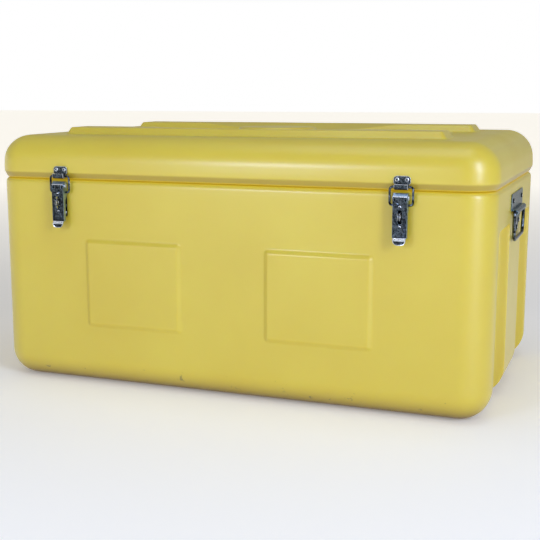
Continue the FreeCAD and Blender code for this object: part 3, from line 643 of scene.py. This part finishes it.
def cad_mesh(node: str) -> bmesh.types.BMesh:
    """Copies a CAD node's mesh and merges its loose triangles.

    Args:
        node: the CAD node's name.

    Returns:
        The merged copy.
    """
    bm = bmesh.new()
    bm.from_mesh(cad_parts[node].data)
    bmesh.ops.remove_doubles(bm, verts=bm.verts, dist=JOIN * HALF)
    return bm


def turned(bm: bmesh.types.BMesh, section: Sequence[Ring], seat: Vector, axis: Vector, side: Vector,
           steps: int) -> None:
    """Spins a section about an axis.

    Args:
        bm: the mesh to add to.
        section: radius and height over the seat of each point, in millimetres.
        seat: the place on the axis that the heights count from.
        axis: the direction of the heights.
        side: the direction that the radii start in.
        steps: steps in a full turn.
    """
    verts = [bm.verts.new(seat + (side * r + axis * t) * MM) for r, t in section]
    edges = [bm.edges.new(pair) for pair in zip(verts, verts[1:])]
    bmesh.ops.spin(bm, geom=verts + edges, cent=seat, axis=axis, angle=math.tau, steps=steps, use_merge=True)


def finish_mesh(bm: bmesh.types.BMesh, name: str, material: Material, body: str,
                nodes: tuple[str, ...], smooth_deg: float) -> bpy.types.Object:
    """Turns a bmesh into a piece of the scene.

    Args:
        bm: the mesh, which is freed.
        name: the piece's name.
        material: its finish.
        body: the CAD body that it rides on.
        nodes: the CAD nodes that it stands for.
        smooth_deg: edges sharper than this stay sharp.

    Returns:
        The new object.
    """
    bmesh.ops.remove_doubles(bm, verts=bm.verts, dist=JOIN)
    bmesh.ops.recalc_face_normals(bm, faces=bm.faces)
    mesh = bpy.data.meshes.new(name)
    bm.to_mesh(mesh)
    bm.free()
    mesh.materials.append(material)
    mesh.shade_smooth()
    mesh.set_sharp_from_angle(angle=math.radians(smooth_deg))
    piece = put(name, mesh)
    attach(piece, body)
    if nodes:
        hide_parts(*nodes)
    log.info("%s: %d faces", name, len(mesh.polygons))
    return piece


def merged_copy(node: str, material: Material, body: str, edge_mm: float = 0.0,
                edge: Material | None = None, tilts: Sequence[Tilt] = (),
                rim: tuple[float, float, float] | None = None) -> None:
    """Stands in for a CAD node with a merged copy of its mesh, its edges broken by a small bevel.

    Args:
        node: the CAD node's name.
        material: its finish.
        body: the CAD body that it rides on.
        edge_mm: width of the bevel, or 0 for none.
        edge: finish of the bevel: partly handling wear, partly a painted highlight.
        tilts: other finishes, painted highlights chosen by the way a face turns, for faces that don't face back.
        rim: for a pressed rim round the front faces under a height: that height, the rim's width and its depth,
            in millimetres; it has the first of the other finishes.
    """
    bm = cad_mesh(node)
    bmesh.ops.dissolve_limit(bm, angle_limit=math.radians(FLAT_DEG), verts=bm.verts, edges=bm.edges)
    bm.normal_update()
    for number, (way, low, high, _) in enumerate(tilts):
        for face in bm.faces:
            if low < face.normal.dot(Vector(way)) < high and face.normal.y < TURNED_BACK:
                face.material_index = 2 + number
    if rim:
        level, width, depth = rim
        low_faces = [face for face in bm.faces
                     if face.normal.y < FACES_FRONT and face.calc_center_median().z < level * MM]
        made = bmesh.ops.inset_region(bm, faces=low_faces, thickness=width * MM, depth=-depth * MM,
                                      use_even_offset=True, use_boundary=True)
        for face in made["faces"]:
            face.material_index = 2
    piece = finish_mesh(bm, node + "_shown", material, body, (node,), FOLD_DEG)
    if edge:
        piece.data.materials.append(edge)
    for _, _, _, finish in tilts:
        piece.data.materials.append(finish)
    if edge_mm:
        bevel = piece.modifiers.new("broken edges", "BEVEL")
        bevel.width = edge_mm * MM
        bevel.segments = 2
        bevel.limit_method = "ANGLE"
        bevel.angle_limit = math.radians(EDGE_DEG)
        bevel.harden_normals = True
        bevel.material = 1 if edge else -1
        bevel.use_clamp_overlap = not edge


def islands(bm: bmesh.types.BMesh) -> list[list[bmesh.types.BMVert]]:
    """Finds the separate solids of a mesh.

    Args:
        bm: the mesh.

    Returns:
        Each solid as its vertices.
    """
    left = set(bm.verts)
    groups = []
    while left:
        group = [left.pop()]
        for vert in group:
            for link in vert.link_edges:
                other = link.other_vert(vert)
                if other in left:
                    left.remove(other)
                    group.append(other)
        groups.append(group)
    return groups


@dataclass
class PopRivets:
    """Pop rivets: a low dome with a hollow or raised middle, where the stem has snapped off.

    The hollow is given in shares of the stem's radius and the head's height, and the dome in shares of the head's
    radius and height.
    """

    ring: Material
    middle: Material
    head: float = 3.3
    height: float = 1.5
    stem: float = 1.45
    stem_level: float = 0.2
    stem_flat: float = 0.8
    stem_step: float = 0.15
    hollow: tuple[Ring, ...] = ((1.0, 0.85), (1.3, 0.97))
    dome: tuple[Ring, ...] = ((0.55, 1.0), (0.8, 0.72), (0.96, 0.35), (1.0, 0.0))
    shank: float = 2.35
    upset: float = 4.0
    upset_height: float = 1.4
    steps: int = 28
    smooth_deg: float = 50.0

    def build(self, node: str, body: str, out: Point) -> None:
        """Sets one rivet where the CAD node has each of its plain ones.

        Args:
            node: the CAD node's name.
            body: the CAD body that it rides on.
            out: the direction that the heads face.
        """
        plain = cad_mesh(node)
        axis = Vector(out)
        bm = bmesh.new()
        for group in islands(plain):
            middle = sum((vert.co for vert in group), Vector()) / len(group)
            depths = [vert.co.dot(axis) / MM for vert in group]
            seat = max(depths) - self.height
            self.turn(bm, middle - axis * middle.dot(axis) + axis * seat * MM, axis, seat - min(depths))
        plain.free()
        piece = finish_mesh(bm, node + "_shown", self.ring, body, (node,), self.smooth_deg)
        piece.data.materials.append(self.middle)

    def turn(self, bm: bmesh.types.BMesh, seat: Vector, axis: Vector, depth: float) -> None:
        """Spins one rivet's section about its axis.

        Args:
            bm: the mesh to add to.
            seat: the middle of the head's underside.
            axis: the direction that the head faces.
            depth: how far the rivet reaches in from its seat, in millimetres.
        """
        tall, stem = self.height, self.stem
        grip = depth - self.upset_height
        low = tall * self.stem_level
        step = self.stem_step if low < tall else -self.stem_step
        section = [(0, low), (stem * self.stem_flat, low), (stem, low + tall * step)]
        section += [(stem * r, tall * t) for r, t in self.hollow]
        section += [(self.head * r, tall * t) for r, t in self.dome]
        section += [(self.shank, 0), (self.shank, -grip), (self.upset, -grip), (self.upset, -depth), (0, -depth)]
        turned(bm, section, seat, axis, axis.orthogonal().normalized(), self.steps)
        for face in bm.faces:
            off = face.calc_center_median() - seat
            if (off - axis * off.dot(axis)).length < stem * MM and off.dot(axis) > 0:
                face.material_index = 1


@dataclass
class MouldedBase:
    """The hollow base: round bottom edge, rolled lip, two raised panels and four end channels."""

    finishes: Finishes
    half_x: float = 422.7
    half_y: float = 254.7
    corner: float = 48.7
    height: float = 350.25
    bottom_round: float = 48.5
    lip_round: float = 9.0
    wall: float = 6.0
    mouth_inset: float = 23.7
    rim_drop: float = 11.0
    rim_bevel: float = 1.2
    skin_turn: float = 1.0
    skin_start: float = 3.0
    panel_middle_x: float = 159.5
    panel_middle_z: float = 177.5
    panel_half_x: float = 89.0
    panel_half_z: float = 75.5
    panel_bevel: float = 9.0
    panel_proud: float = 4.3
    channel_middle_y: float = 133.0
    channel_half_y: float = 64.0
    channel_top: float = 287.0
    channel_depth: float = 16.0
    channel_corner: float = 12.0
    channel_bevel: float = 4.6
    swell: float = 0.5
    swell_size: float = 150.0
    grid: float = 12.0
    front_grid: float = 13.0
    back_grid: float = 26.0
    inner_grid: float = 16.0
    # Closer grid lines, outward from the edge of a panel, of a channel, and of a channel on the inner skin.
    panel_lines: tuple[Stretch, ...] = ((-11.0, 1.0, 1.2),)
    channel_lines: tuple[Stretch, ...] = ((-14.0, -5.6, 2.1), (-5.4, 0.6, 0.75))
    inner_lines: tuple[Stretch, ...] = ((-4.0, 8.0, 1.5),)
    corner_steps: int = 14
    bottom_steps: int = 16
    lip_steps: int = 7
    inner_steps: int = 10
    smooth_deg: float = 50.0

    def panel(self, x: float, z: float) -> float:
        """How far the front stands out at a place."""
        inside = -box_distance(abs(x) - self.panel_middle_x, z - self.panel_middle_z, self.panel_half_x,
                               self.panel_half_z, self.panel_bevel)
        return self.panel_proud * ease(inside / self.panel_bevel)

    def channel(self, y: float, z: float, grow: float) -> float:
        """How far the end draws in at a place; grow widens the channel for the inner skin."""
        inside = -box_distance(abs(y) - self.channel_middle_y, z, self.channel_half_y + grow,
                               self.channel_top + grow, self.channel_corner + grow)
        return self.channel_depth * ease(inside / self.channel_bevel)

    def build(self) -> None:
        """Builds the base as one closed shell and dresses it."""
        x_far, y_far = self.half_x - self.corner, self.half_y - self.corner
        marks, fine = [], []
        for side in (-1, 1):
            for edge in (-1, 1):
                marks += near_edge(side * self.panel_middle_x + edge * self.panel_half_x, edge, self.panel_lines)
                fine += near_edge(side * self.channel_middle_y + edge * self.channel_half_y, edge, self.channel_lines)
        front = lines(-x_far, x_far, self.front_grid, marks)
        back = lines(-x_far, x_far, self.back_grid)
        ends = lines(-y_far, y_far, self.grid, fine)
        stations = columns(self.half_x, self.half_y, self.corner, front, ends, back, self.corner_steps)
        lip_z = self.height - self.lip_round
        levels = near_edge(self.channel_top, 1, self.channel_lines)
        for edge in (-1, 1):
            levels += near_edge(self.panel_middle_z + edge * self.panel_half_z, edge, self.panel_lines)
        heights = lines(self.bottom_round, lip_z, self.grid, levels)
        outer = arc(self.bottom_round, self.bottom_round, self.bottom_round, -90, 0, self.bottom_steps)
        outer += [(0.0, z) for z in heights[1:]]
        outer += arc(self.lip_round, lip_z, self.lip_round, 0, 90, self.lip_steps)[1:]
        mouth, nip = self.mouth_inset, self.rim_bevel
        ledge = self.height - self.rim_drop
        rim = [(mouth - nip, self.height), (mouth, self.height - nip), (mouth, ledge + nip), (mouth - nip, ledge)]
        inner_heights = lines(self.bottom_round, ledge - self.skin_start, self.inner_grid,
                              near_edge(self.channel_top, 1, self.inner_lines))
        inner = [(self.wall + self.skin_turn, ledge), (self.wall, ledge - self.skin_turn)]
        inner += [(self.wall, z) for z in reversed(inner_heights)]
        inner += arc(self.bottom_round, self.bottom_round, self.bottom_round - self.wall, 0, -90, self.inner_steps)[1:]

        def shape(point: Vector, station: Column, row: int) -> Vector:
            """Draws the walls in, and presses the panels and channels into them.

            Args:
                point: the place on the plain shell.
                station: its station.
                row: its row.

            Returns:
                The shaped place.
            """
            x, y, z = point
            skin = self.wall if row >= len(outer) + len(rim) else 0.0
            if row < len(outer):
                pull = sway(point, self.swell, self.swell_size)
                x -= station[2] * pull
                y -= station[3] * pull
            if station[3] == -1:
                y -= self.panel(x, z)
            if abs(station[2]) == 1:
                limit = self.half_x - skin - self.channel(y, z, skin)
                x = math.copysign(min(abs(x), limit), x)
            return Vector((x, y, z))

        bm = bmesh.new()
        wrap(bm, stations, outer + rim + inner, self.corner, shape)
        bmesh.ops.holes_fill(bm, edges=[edge for edge in bm.edges if edge.is_boundary], sides=0)
        finish_mesh(bm, "base_moulding", self.finishes.plastic, "base", ("base_shell",),
                    self.smooth_deg)


@dataclass
class MouldedLid:
    """The hollow lid: wide round top edge, two long ribs opened by an oval scoop, and a round boss."""

    finishes: Finishes
    half_x: float = 425.0
    half_y: float = 257.0
    corner: float = 51.0
    low: float = 350.4
    crest: float = 426.5
    top_round: float = 50.0
    front_fall: float = 5.1
    back_fall: float = 1.0
    wall: float = 6.0
    mouth_inset: float = 26.0
    rim_height: float = 11.0
    rim_bevel: float = 1.2
    skin_turn: float = 1.0
    lean: float = 0.5
    side_in: float = 0.1
    # The rim's edge: its depth and height, its lip in millimetres, and its slope in shares of the first two.
    edge_in: float = 5.4
    edge_up: float = 10.5
    edge_lip: tuple[Ring, ...] = ((1.8, 0.0), (0.6, 0.15), (-0.2, 0.7))
    edge_slope: tuple[Ring, ...] = ((0.8, 0.2), (0.5, 0.5), (0.25, 0.75), (0.1, 0.93), (0.03, 1.06), (0.0, 1.25))
    rib_height: float = 11.6
    rib_half_x: float = 336.5
    rib_middle_y: float = 133.0
    rib_half_y: float = 38.5
    rib_slope: float = 11.5
    rib_corner: float = 14.0
    rib_inside: float = 0.9
    scoop_foot: tuple[float, float] = (163.0, 111.0)
    scoop_growth: tuple[float, float] = (105.0, 40.0)
    scoop_top: float = 3.0
    scoop_tries: int = 24
    # The boss's section: outward from its foot, shares of its side, outward and up from its top, and its crown.
    boss_radius: float = 72.0
    boss_height: float = 9.5
    boss_slope: float = 4.5
    boss_sunk: float = -1.0
    boss_foot: tuple[Ring, ...] = ((2.2, -1.0), (1.0, 0.3), (-0.4, 1.6))
    boss_side: tuple[float, ...] = (0.35, 0.7)
    boss_edge: tuple[Ring, ...] = ((-0.2, -1.1), (-1.2, -0.3), (-3.0, 0.0))
    boss_crown: tuple[Ring, ...] = ((HALF, -0.1), (0.0, -0.15))
    boss_steps: int = 96
    boss_smooth_deg: float = 60.0
    seal_inset: float = 14.0
    seal_width: float = 8.0
    seal_depth: float = 4.0
    seal_bevel: float = 0.4
    swell: float = 0.6
    swell_size: float = 160.0
    swell_fade: tuple[float, float] = (20.0, 30.0)
    grid: float = 12.0
    # Closer grid lines, outward from a rib's end and from its side.
    rib_end_lines: tuple[Stretch, ...] = ((-14.5, 1.0, 1.6),)
    rib_side_lines: tuple[Stretch, ...] = ((-12.5, 1.0, 1.6), (-63.5, -13.5, 4.0))
    corner_steps: int = 14
    top_steps: int = 18
    inner_steps: int = 10
    smooth_deg: float = 50.0

    def scoop(self, x: float, y: float) -> float:
        """Finds the height of the scoop's surface over the lid's field, by halving.

        Args:
            x: the place along the box.
            y: the place across it.

        Returns:
            The height, in millimetres.
        """
        low, high = 0.0, self.scoop_top
        for _ in range(self.scoop_tries):
            middle = (low + high) * HALF
            across = self.scoop_foot[0] + self.scoop_growth[0] * middle
            deep = self.scoop_foot[1] + self.scoop_growth[1] * middle
            if (x / across) ** 2 + (y / deep) ** 2 > 1:
                low = middle
            else:
                high = middle
        return low * self.rib_height

    def fall(self, y: float) -> float:
        """How far the lid's field lies under its nominal height at a place; the lid drops to the front.

        Args:
            y: the place across the box.

        Returns:
            The drop, in millimetres.
        """
        flat = self.half_y - self.corner
        share = min(max((y + flat) / (2 * flat), 0.0), 1.0)
        return self.front_fall + (self.back_fall - self.front_fall) * share

    def relief(self, x: float, y: float) -> float:
        """Height of the ribs over the lid's field."""
        inside = -box_distance(x, abs(y) - self.rib_middle_y, self.rib_half_x, self.rib_half_y, self.rib_corner)
        return min(self.rib_height * ease(inside / self.rib_slope), self.scoop(x, y))

    def section(self) -> tuple[list[Ring], list[Ring]]:
        """Draws the lid's section, from the ceiling round the rim to the crest.

        Returns:
            The rows of the inner skin and the rim, and the rows outside.
        """
        shoulder = self.crest - self.top_round
        low, seal = self.low, self.low + self.seal_depth
        near, far = self.seal_inset, self.seal_inset + self.seal_width
        mouth, nip, soft = self.mouth_inset, self.rim_bevel, self.seal_bevel
        ledge = low + self.rim_height
        inner = [(self.corner, self.crest - self.wall)]
        inner += arc(self.top_round, shoulder, self.top_round - self.wall, 90, 0, self.inner_steps)
        inner += [(self.wall, ledge + self.skin_turn), (self.wall + self.skin_turn, ledge), (mouth - nip, ledge),
                  (mouth, ledge - nip), (mouth, low + nip), (mouth - nip, low), (far + soft, low), (far, low + soft),
                  (far, seal), (near, seal), (near, low + soft), (near - soft, low)]
        deep, tall = self.edge_in, self.edge_up
        outer = [(deep + inset, low + z) for inset, z in self.edge_lip]
        outer += [(deep * inset, low + tall * z) for inset, z in self.edge_slope]
        outer += [(self.side_in, (low + tall + shoulder) * HALF + 1)]
        outer += [(inset + self.lean * (1 - inset / self.top_round) ** 3, z)
                  for inset, z in arc(self.top_round, shoulder, self.top_round, 0, 90, self.top_steps)]
        return inner, outer + [(self.corner, self.crest)]

    def build(self) -> None:
        """Builds the lid as one closed shell, with the boss on it, and dresses both."""
        x_far, y_far = self.half_x - self.corner, self.half_y - self.corner
        marks, fine = [], []
        for side in (-1, 1):
            marks += near_edge(side * self.rib_half_x, side, self.rib_end_lines)
            for edge in (-1, 1):
                at = side * (self.rib_middle_y + edge * self.rib_half_y)
                fine += near_edge(at, side * edge, self.rib_side_lines)
        xs = lines(-x_far, x_far, self.grid, marks)
        ys = lines(-y_far, y_far, self.grid, fine)
        stations = columns(self.half_x, self.half_y, self.corner, xs, ys, xs, self.corner_steps)
        inner, outer = self.section()
        shoulder = self.crest - self.top_round
        wall_fade, top_fade = self.swell_fade

        def shape(point: Vector, station: Column, row: int) -> Vector:
            """Lowers the top round with the lid's field, and draws the outer walls in.

            Args:
                point: the place on the plain shell.
                station: its station.
                row: its row.

            Returns:
                The shaped place.
            """
            over = max(point.z - shoulder, 0.0)
            lower = Vector((0, 0, self.fall(point.y) * over / self.top_round))
            if row < len(inner):
                return point - lower
            pull = sway(point, self.swell, self.swell_size)
            fade = ease((self.corner - 2 - over) / wall_fade)
            return point - lower - Vector((station[2], station[3], 0)) * pull * fade

        def top(x: float, y: float) -> float:
            """Height of the lid's outer face.

            Args:
                x: the place along the box.
                y: the place across it.

            Returns:
                The height, in millimetres.
            """
            away = min(x_far - abs(x), y_far - abs(y))
            pull = sway(Vector((x, y, self.crest)), self.swell, self.swell_size) * ease(away / top_fade)
            return self.crest - self.fall(y) - pull + self.relief(x, y)

        def ceiling(x: float, y: float) -> float:
            """Height of the lid's inner face at a place."""
            under = (self.crest - self.wall - shoulder) / self.top_round
            return self.crest - self.wall - self.fall(y) * under + self.relief(x, y) * self.rib_inside

        bm = bmesh.new()
        wrap(bm, stations, inner + outer, self.corner, shape)
        spread(bm, xs, ys, top)
        spread(bm, xs, ys, ceiling)
        finish_mesh(bm, "lid_moulding", self.finishes.plastic, "lid", ("lid_shell",), self.smooth_deg)
        self.build_boss()

    def build_boss(self) -> None:
        """Turns the round boss about its axis, its foot let into the lid."""
        foot, tall = self.boss_radius, self.boss_height
        top = foot - self.boss_slope
        profile = [(0.0, self.boss_sunk)] + [(foot + r, z) for r, z in self.boss_foot]
        profile += [(foot - self.boss_slope * share, tall * share) for share in self.boss_side]
        profile += [(top + r, tall + z) for r, z in self.boss_edge] + [(top * r, tall + z) for r, z in self.boss_crown]
        bm = bmesh.new()
        turned(bm, profile, Vector((0, 0, self.crest - self.fall(0))) * MM, Vector(UP), Vector(ENDS[0]),
               self.boss_steps)
        finish_mesh(bm, "lid_boss", self.finishes.plastic, "lid", (), self.boss_smooth_deg)


@dataclass
class DrawLatch:
    """One draw latch: bracket, pin, lever, wire loop, padlock staple, keeper and rivets."""

    side: Side
    finishes: Finishes
    bracket_edge: float = 0.35
    edge: float = 0.4
    lever_edge: float = 0.25
    # Faces painted with highlights: up-facing lever faces, the lever's ends, the keeper's hook top and a rim round the
    # lever's tip.
    lever_tilts: tuple[float, float, float] = (0.08, 0.68, 0.9)
    lever_ends: tuple[float, float] = (0.7, 1.01)
    keeper_tilts: tuple[float, float] = (0.05, 0.95)
    tip_rim: tuple[float, float, float] = (278.5, 0.8, 0.25)

    def build(self) -> None:
        """Dresses the latch's pieces."""
        word = self.side.word
        steel, wear_and_highlight, painted_blue_highlight = self.finishes.steel, self.finishes.wear_and_highlight, self.finishes.painted_blue_highlight
        merged_copy("latch_bracket_" + word, steel, "base", self.bracket_edge)
        # Painted highlights: broken edges, up-facing faces and the lever's ends get the white and blue highlight
        # finishes.
        merged_copy("latch_staple_" + word, steel, "base", self.edge, wear_and_highlight)
        low, high, steep = self.lever_tilts
        tilts = [(UP, low, high, wear_and_highlight), (UP, high, steep, painted_blue_highlight)] + [(way, *self.lever_ends, painted_blue_highlight) for way in ENDS]
        merged_copy("latch_lever_" + word, steel, "lever_" + word, self.lever_edge, painted_blue_highlight, tilts,
                    self.tip_rim)
        merged_copy("latch_keeper_" + word, steel, "lid", self.edge, wear_and_highlight,
                    [(UP, *self.keeper_tilts, painted_blue_highlight)])
        merged_copy("latch_loop_" + word, self.finishes.wire, "loop_" + word)
        merged_copy("latch_pin_" + word, self.finishes.rivet, "base")
        rivets = PopRivets(self.finishes.rivet, self.finishes.dark_stem_and_shade)
        rivets.build("bracket_rivets_" + word, "base", FRONT)
        rivets.build("keeper_rivets_" + word, "lid", FRONT)


@dataclass
class EndHandle:
    """One end handle: pressed plate, wire bail and rivets."""

    side: Side
    finishes: Finishes
    plate_edge: float = 0.5
    rivet_head: float = 4.3
    rivet_stem: float = 2.1
    rivet_stem_level: float = 1.3

    def build(self) -> None:
        """Dresses the handle's pieces."""
        word = self.side.word
        # The plate's broken edges get the blue finish, a painted highlight.
        merged_copy("handle_plate_" + word, self.finishes.teal, "base", self.plate_edge,
                    self.finishes.painted_blue_highlight)
        merged_copy("handle_bail_" + word, self.finishes.wire, "bail_" + word)
        # The rivets' domes get the dark finish as painted shade, and their raised stems the white finish as a painted
        # highlight.
        rivets = PopRivets(self.finishes.dark_stem_and_shade, self.finishes.wear_and_highlight, head=self.rivet_head, stem=self.rivet_stem,
                           stem_level=self.rivet_stem_level)
        rivets.build("handle_rivets_" + word, "base", (self.side.value, 0, 0))


@dataclass
class RearHinge:
    """One rear hinge: two leaves, a pin and rivets."""

    side: Side
    finishes: Finishes
    leaf_edge: float = 0.4

    def build(self) -> None:
        """Dresses the hinge's pieces."""
        word = self.side.word
        merged_copy("hinge_lower_leaf_" + word, self.finishes.steel, "base", self.leaf_edge)
        merged_copy("hinge_upper_leaf_" + word, self.finishes.steel, "lid", self.leaf_edge)
        merged_copy("hinge_pin_" + word, self.finishes.rivet, "base")
        rivets = PopRivets(self.finishes.rivet, self.finishes.dark_stem_and_shade)
        rivets.build("hinge_lower_rivets_" + word, "base", BACK)
        rivets.build("hinge_upper_rivets_" + word, "lid", BACK)


@dataclass(frozen=True)
class SoftLight:
    """One soft rectangular light: where it hangs and faces, its width and height in metres, and its watts."""

    name: str
    place: Point
    aim: Point
    size: tuple[float, float]
    power: float
    tint: tuple[float, float, float] = (0.83, 0.96, 1.32)

    def hang(self) -> None:
        """Hangs the light."""
        data = bpy.data.lights.new(self.name, "AREA")
        data.shape = "RECTANGLE"
        data.size, data.size_y = self.size
        data.energy = self.power
        data.color = self.tint
        lamp = put(self.name, data)
        lamp.location = self.place
        lamp.rotation_euler = (Vector(self.aim) - Vector(self.place)).to_track_quat("-Z", "Y").to_euler()


@dataclass
class Studio:
    """Pale floor, soft lights and the photograph's viewpoint."""

    eye: Point = (0.6189, -1.6751, 0.4848)
    yaw_deg: float = 20.71
    pitch_deg: float = 9.91
    lens_mm: float = 65.95
    sensor_mm: float = 36.0
    floor_half: float = 30.0
    room_light: float = 0.36
    horizon_light: float = 1.0
    # Where the bright band starts and is full, along each axis of the direction looked in.
    horizon: tuple[tuple[str, float, float], ...] = (("Z", 0.15, 0.09), ("Y", -0.6, -0.2), ("X", 0.03, -0.07))
    lights: tuple[SoftLight, ...] = (
        SoftLight("key", place=(-0.58, -2.1, 0.78), aim=(0.1, -0.2, 0.25), size=(0.4, 0.4), power=8.7),
        SoftLight("right", place=(2.19, -1.65, 1.15), aim=(0.4, -0.1, 0.25), size=(0.6, 1.7), power=36),
        SoftLight("overhead", place=(0.1, -0.4, 2.6), aim=(0.1, 0, 0.3), size=(1.6, 1.6), power=8))

    def camera(self) -> None:
        """Sets the camera at the photograph's viewpoint."""
        data = bpy.data.cameras.new("viewpoint")
        data.sensor_width = self.sensor_mm
        data.lens = self.lens_mm
        camera = put("viewpoint", data)
        camera.location = self.eye
        camera.rotation_euler = Euler((math.radians(90 - self.pitch_deg), 0, math.radians(self.yaw_deg)))
        bpy.context.scene.camera = camera

    def floor(self) -> None:
        """Lays a plain pale floor."""
        bm = bmesh.new()
        bmesh.ops.create_grid(bm, x_segments=2, y_segments=2, size=self.floor_half)
        mesh = bpy.data.meshes.new("floor")
        bm.to_mesh(mesh)
        bm.free()
        mesh.materials.append(PaintedFloor().material())
        put("floor", mesh)

    def room(self) -> None:
        """Surrounds the object with a dim white room that has a bright band low down, behind and to the left."""
        world = bpy.data.worlds.new("studio")
        world.use_nodes = True
        tree = world.node_tree
        way = add_node(tree, "ShaderNodeSeparateXYZ", {0: add_node(tree, "ShaderNodeTexCoord").outputs["Generated"]})
        band = 1.0
        for axis, none, full in self.horizon:
            share = add_node(tree, "ShaderNodeMapRange", {"Value": way.outputs[axis], "From Min": none,
                                                          "From Max": full})
            band = add_node(tree, "ShaderNodeMath", {0: band, 1: share.outputs[0]}, operation="MULTIPLY").outputs[0]
        power = add_node(tree, "ShaderNodeMapRange", {"Value": band, "To Min": self.room_light,
                                                      "To Max": self.horizon_light})
        feed(tree, tree.nodes["Background"], {"Color": (1, 1, 1, 1), "Strength": power.outputs[0]})
        bpy.context.scene.world = world

    def build(self) -> None:
        """Builds the studio."""
        self.camera()
        self.floor()
        self.room()
        for light in self.lights:
            light.hang()
        bpy.context.scene.view_settings.view_transform = "Standard"


def main() -> None:
    """Builds every sub-assembly in order."""
    logging.basicConfig(level=logging.INFO, format="%(message)s")
    finishes = Finishes()
    MouldedBase(finishes).build()
    MouldedLid(finishes).build()
    merged_copy("lid_seal", finishes.rubber, "lid", edge_mm=0.4)
    for side in Side:
        DrawLatch(side, finishes).build()
        EndHandle(side, finishes).build()
        RearHinge(side, finishes).build()
    Studio().build()


if __name__ == "__main__":
    main()
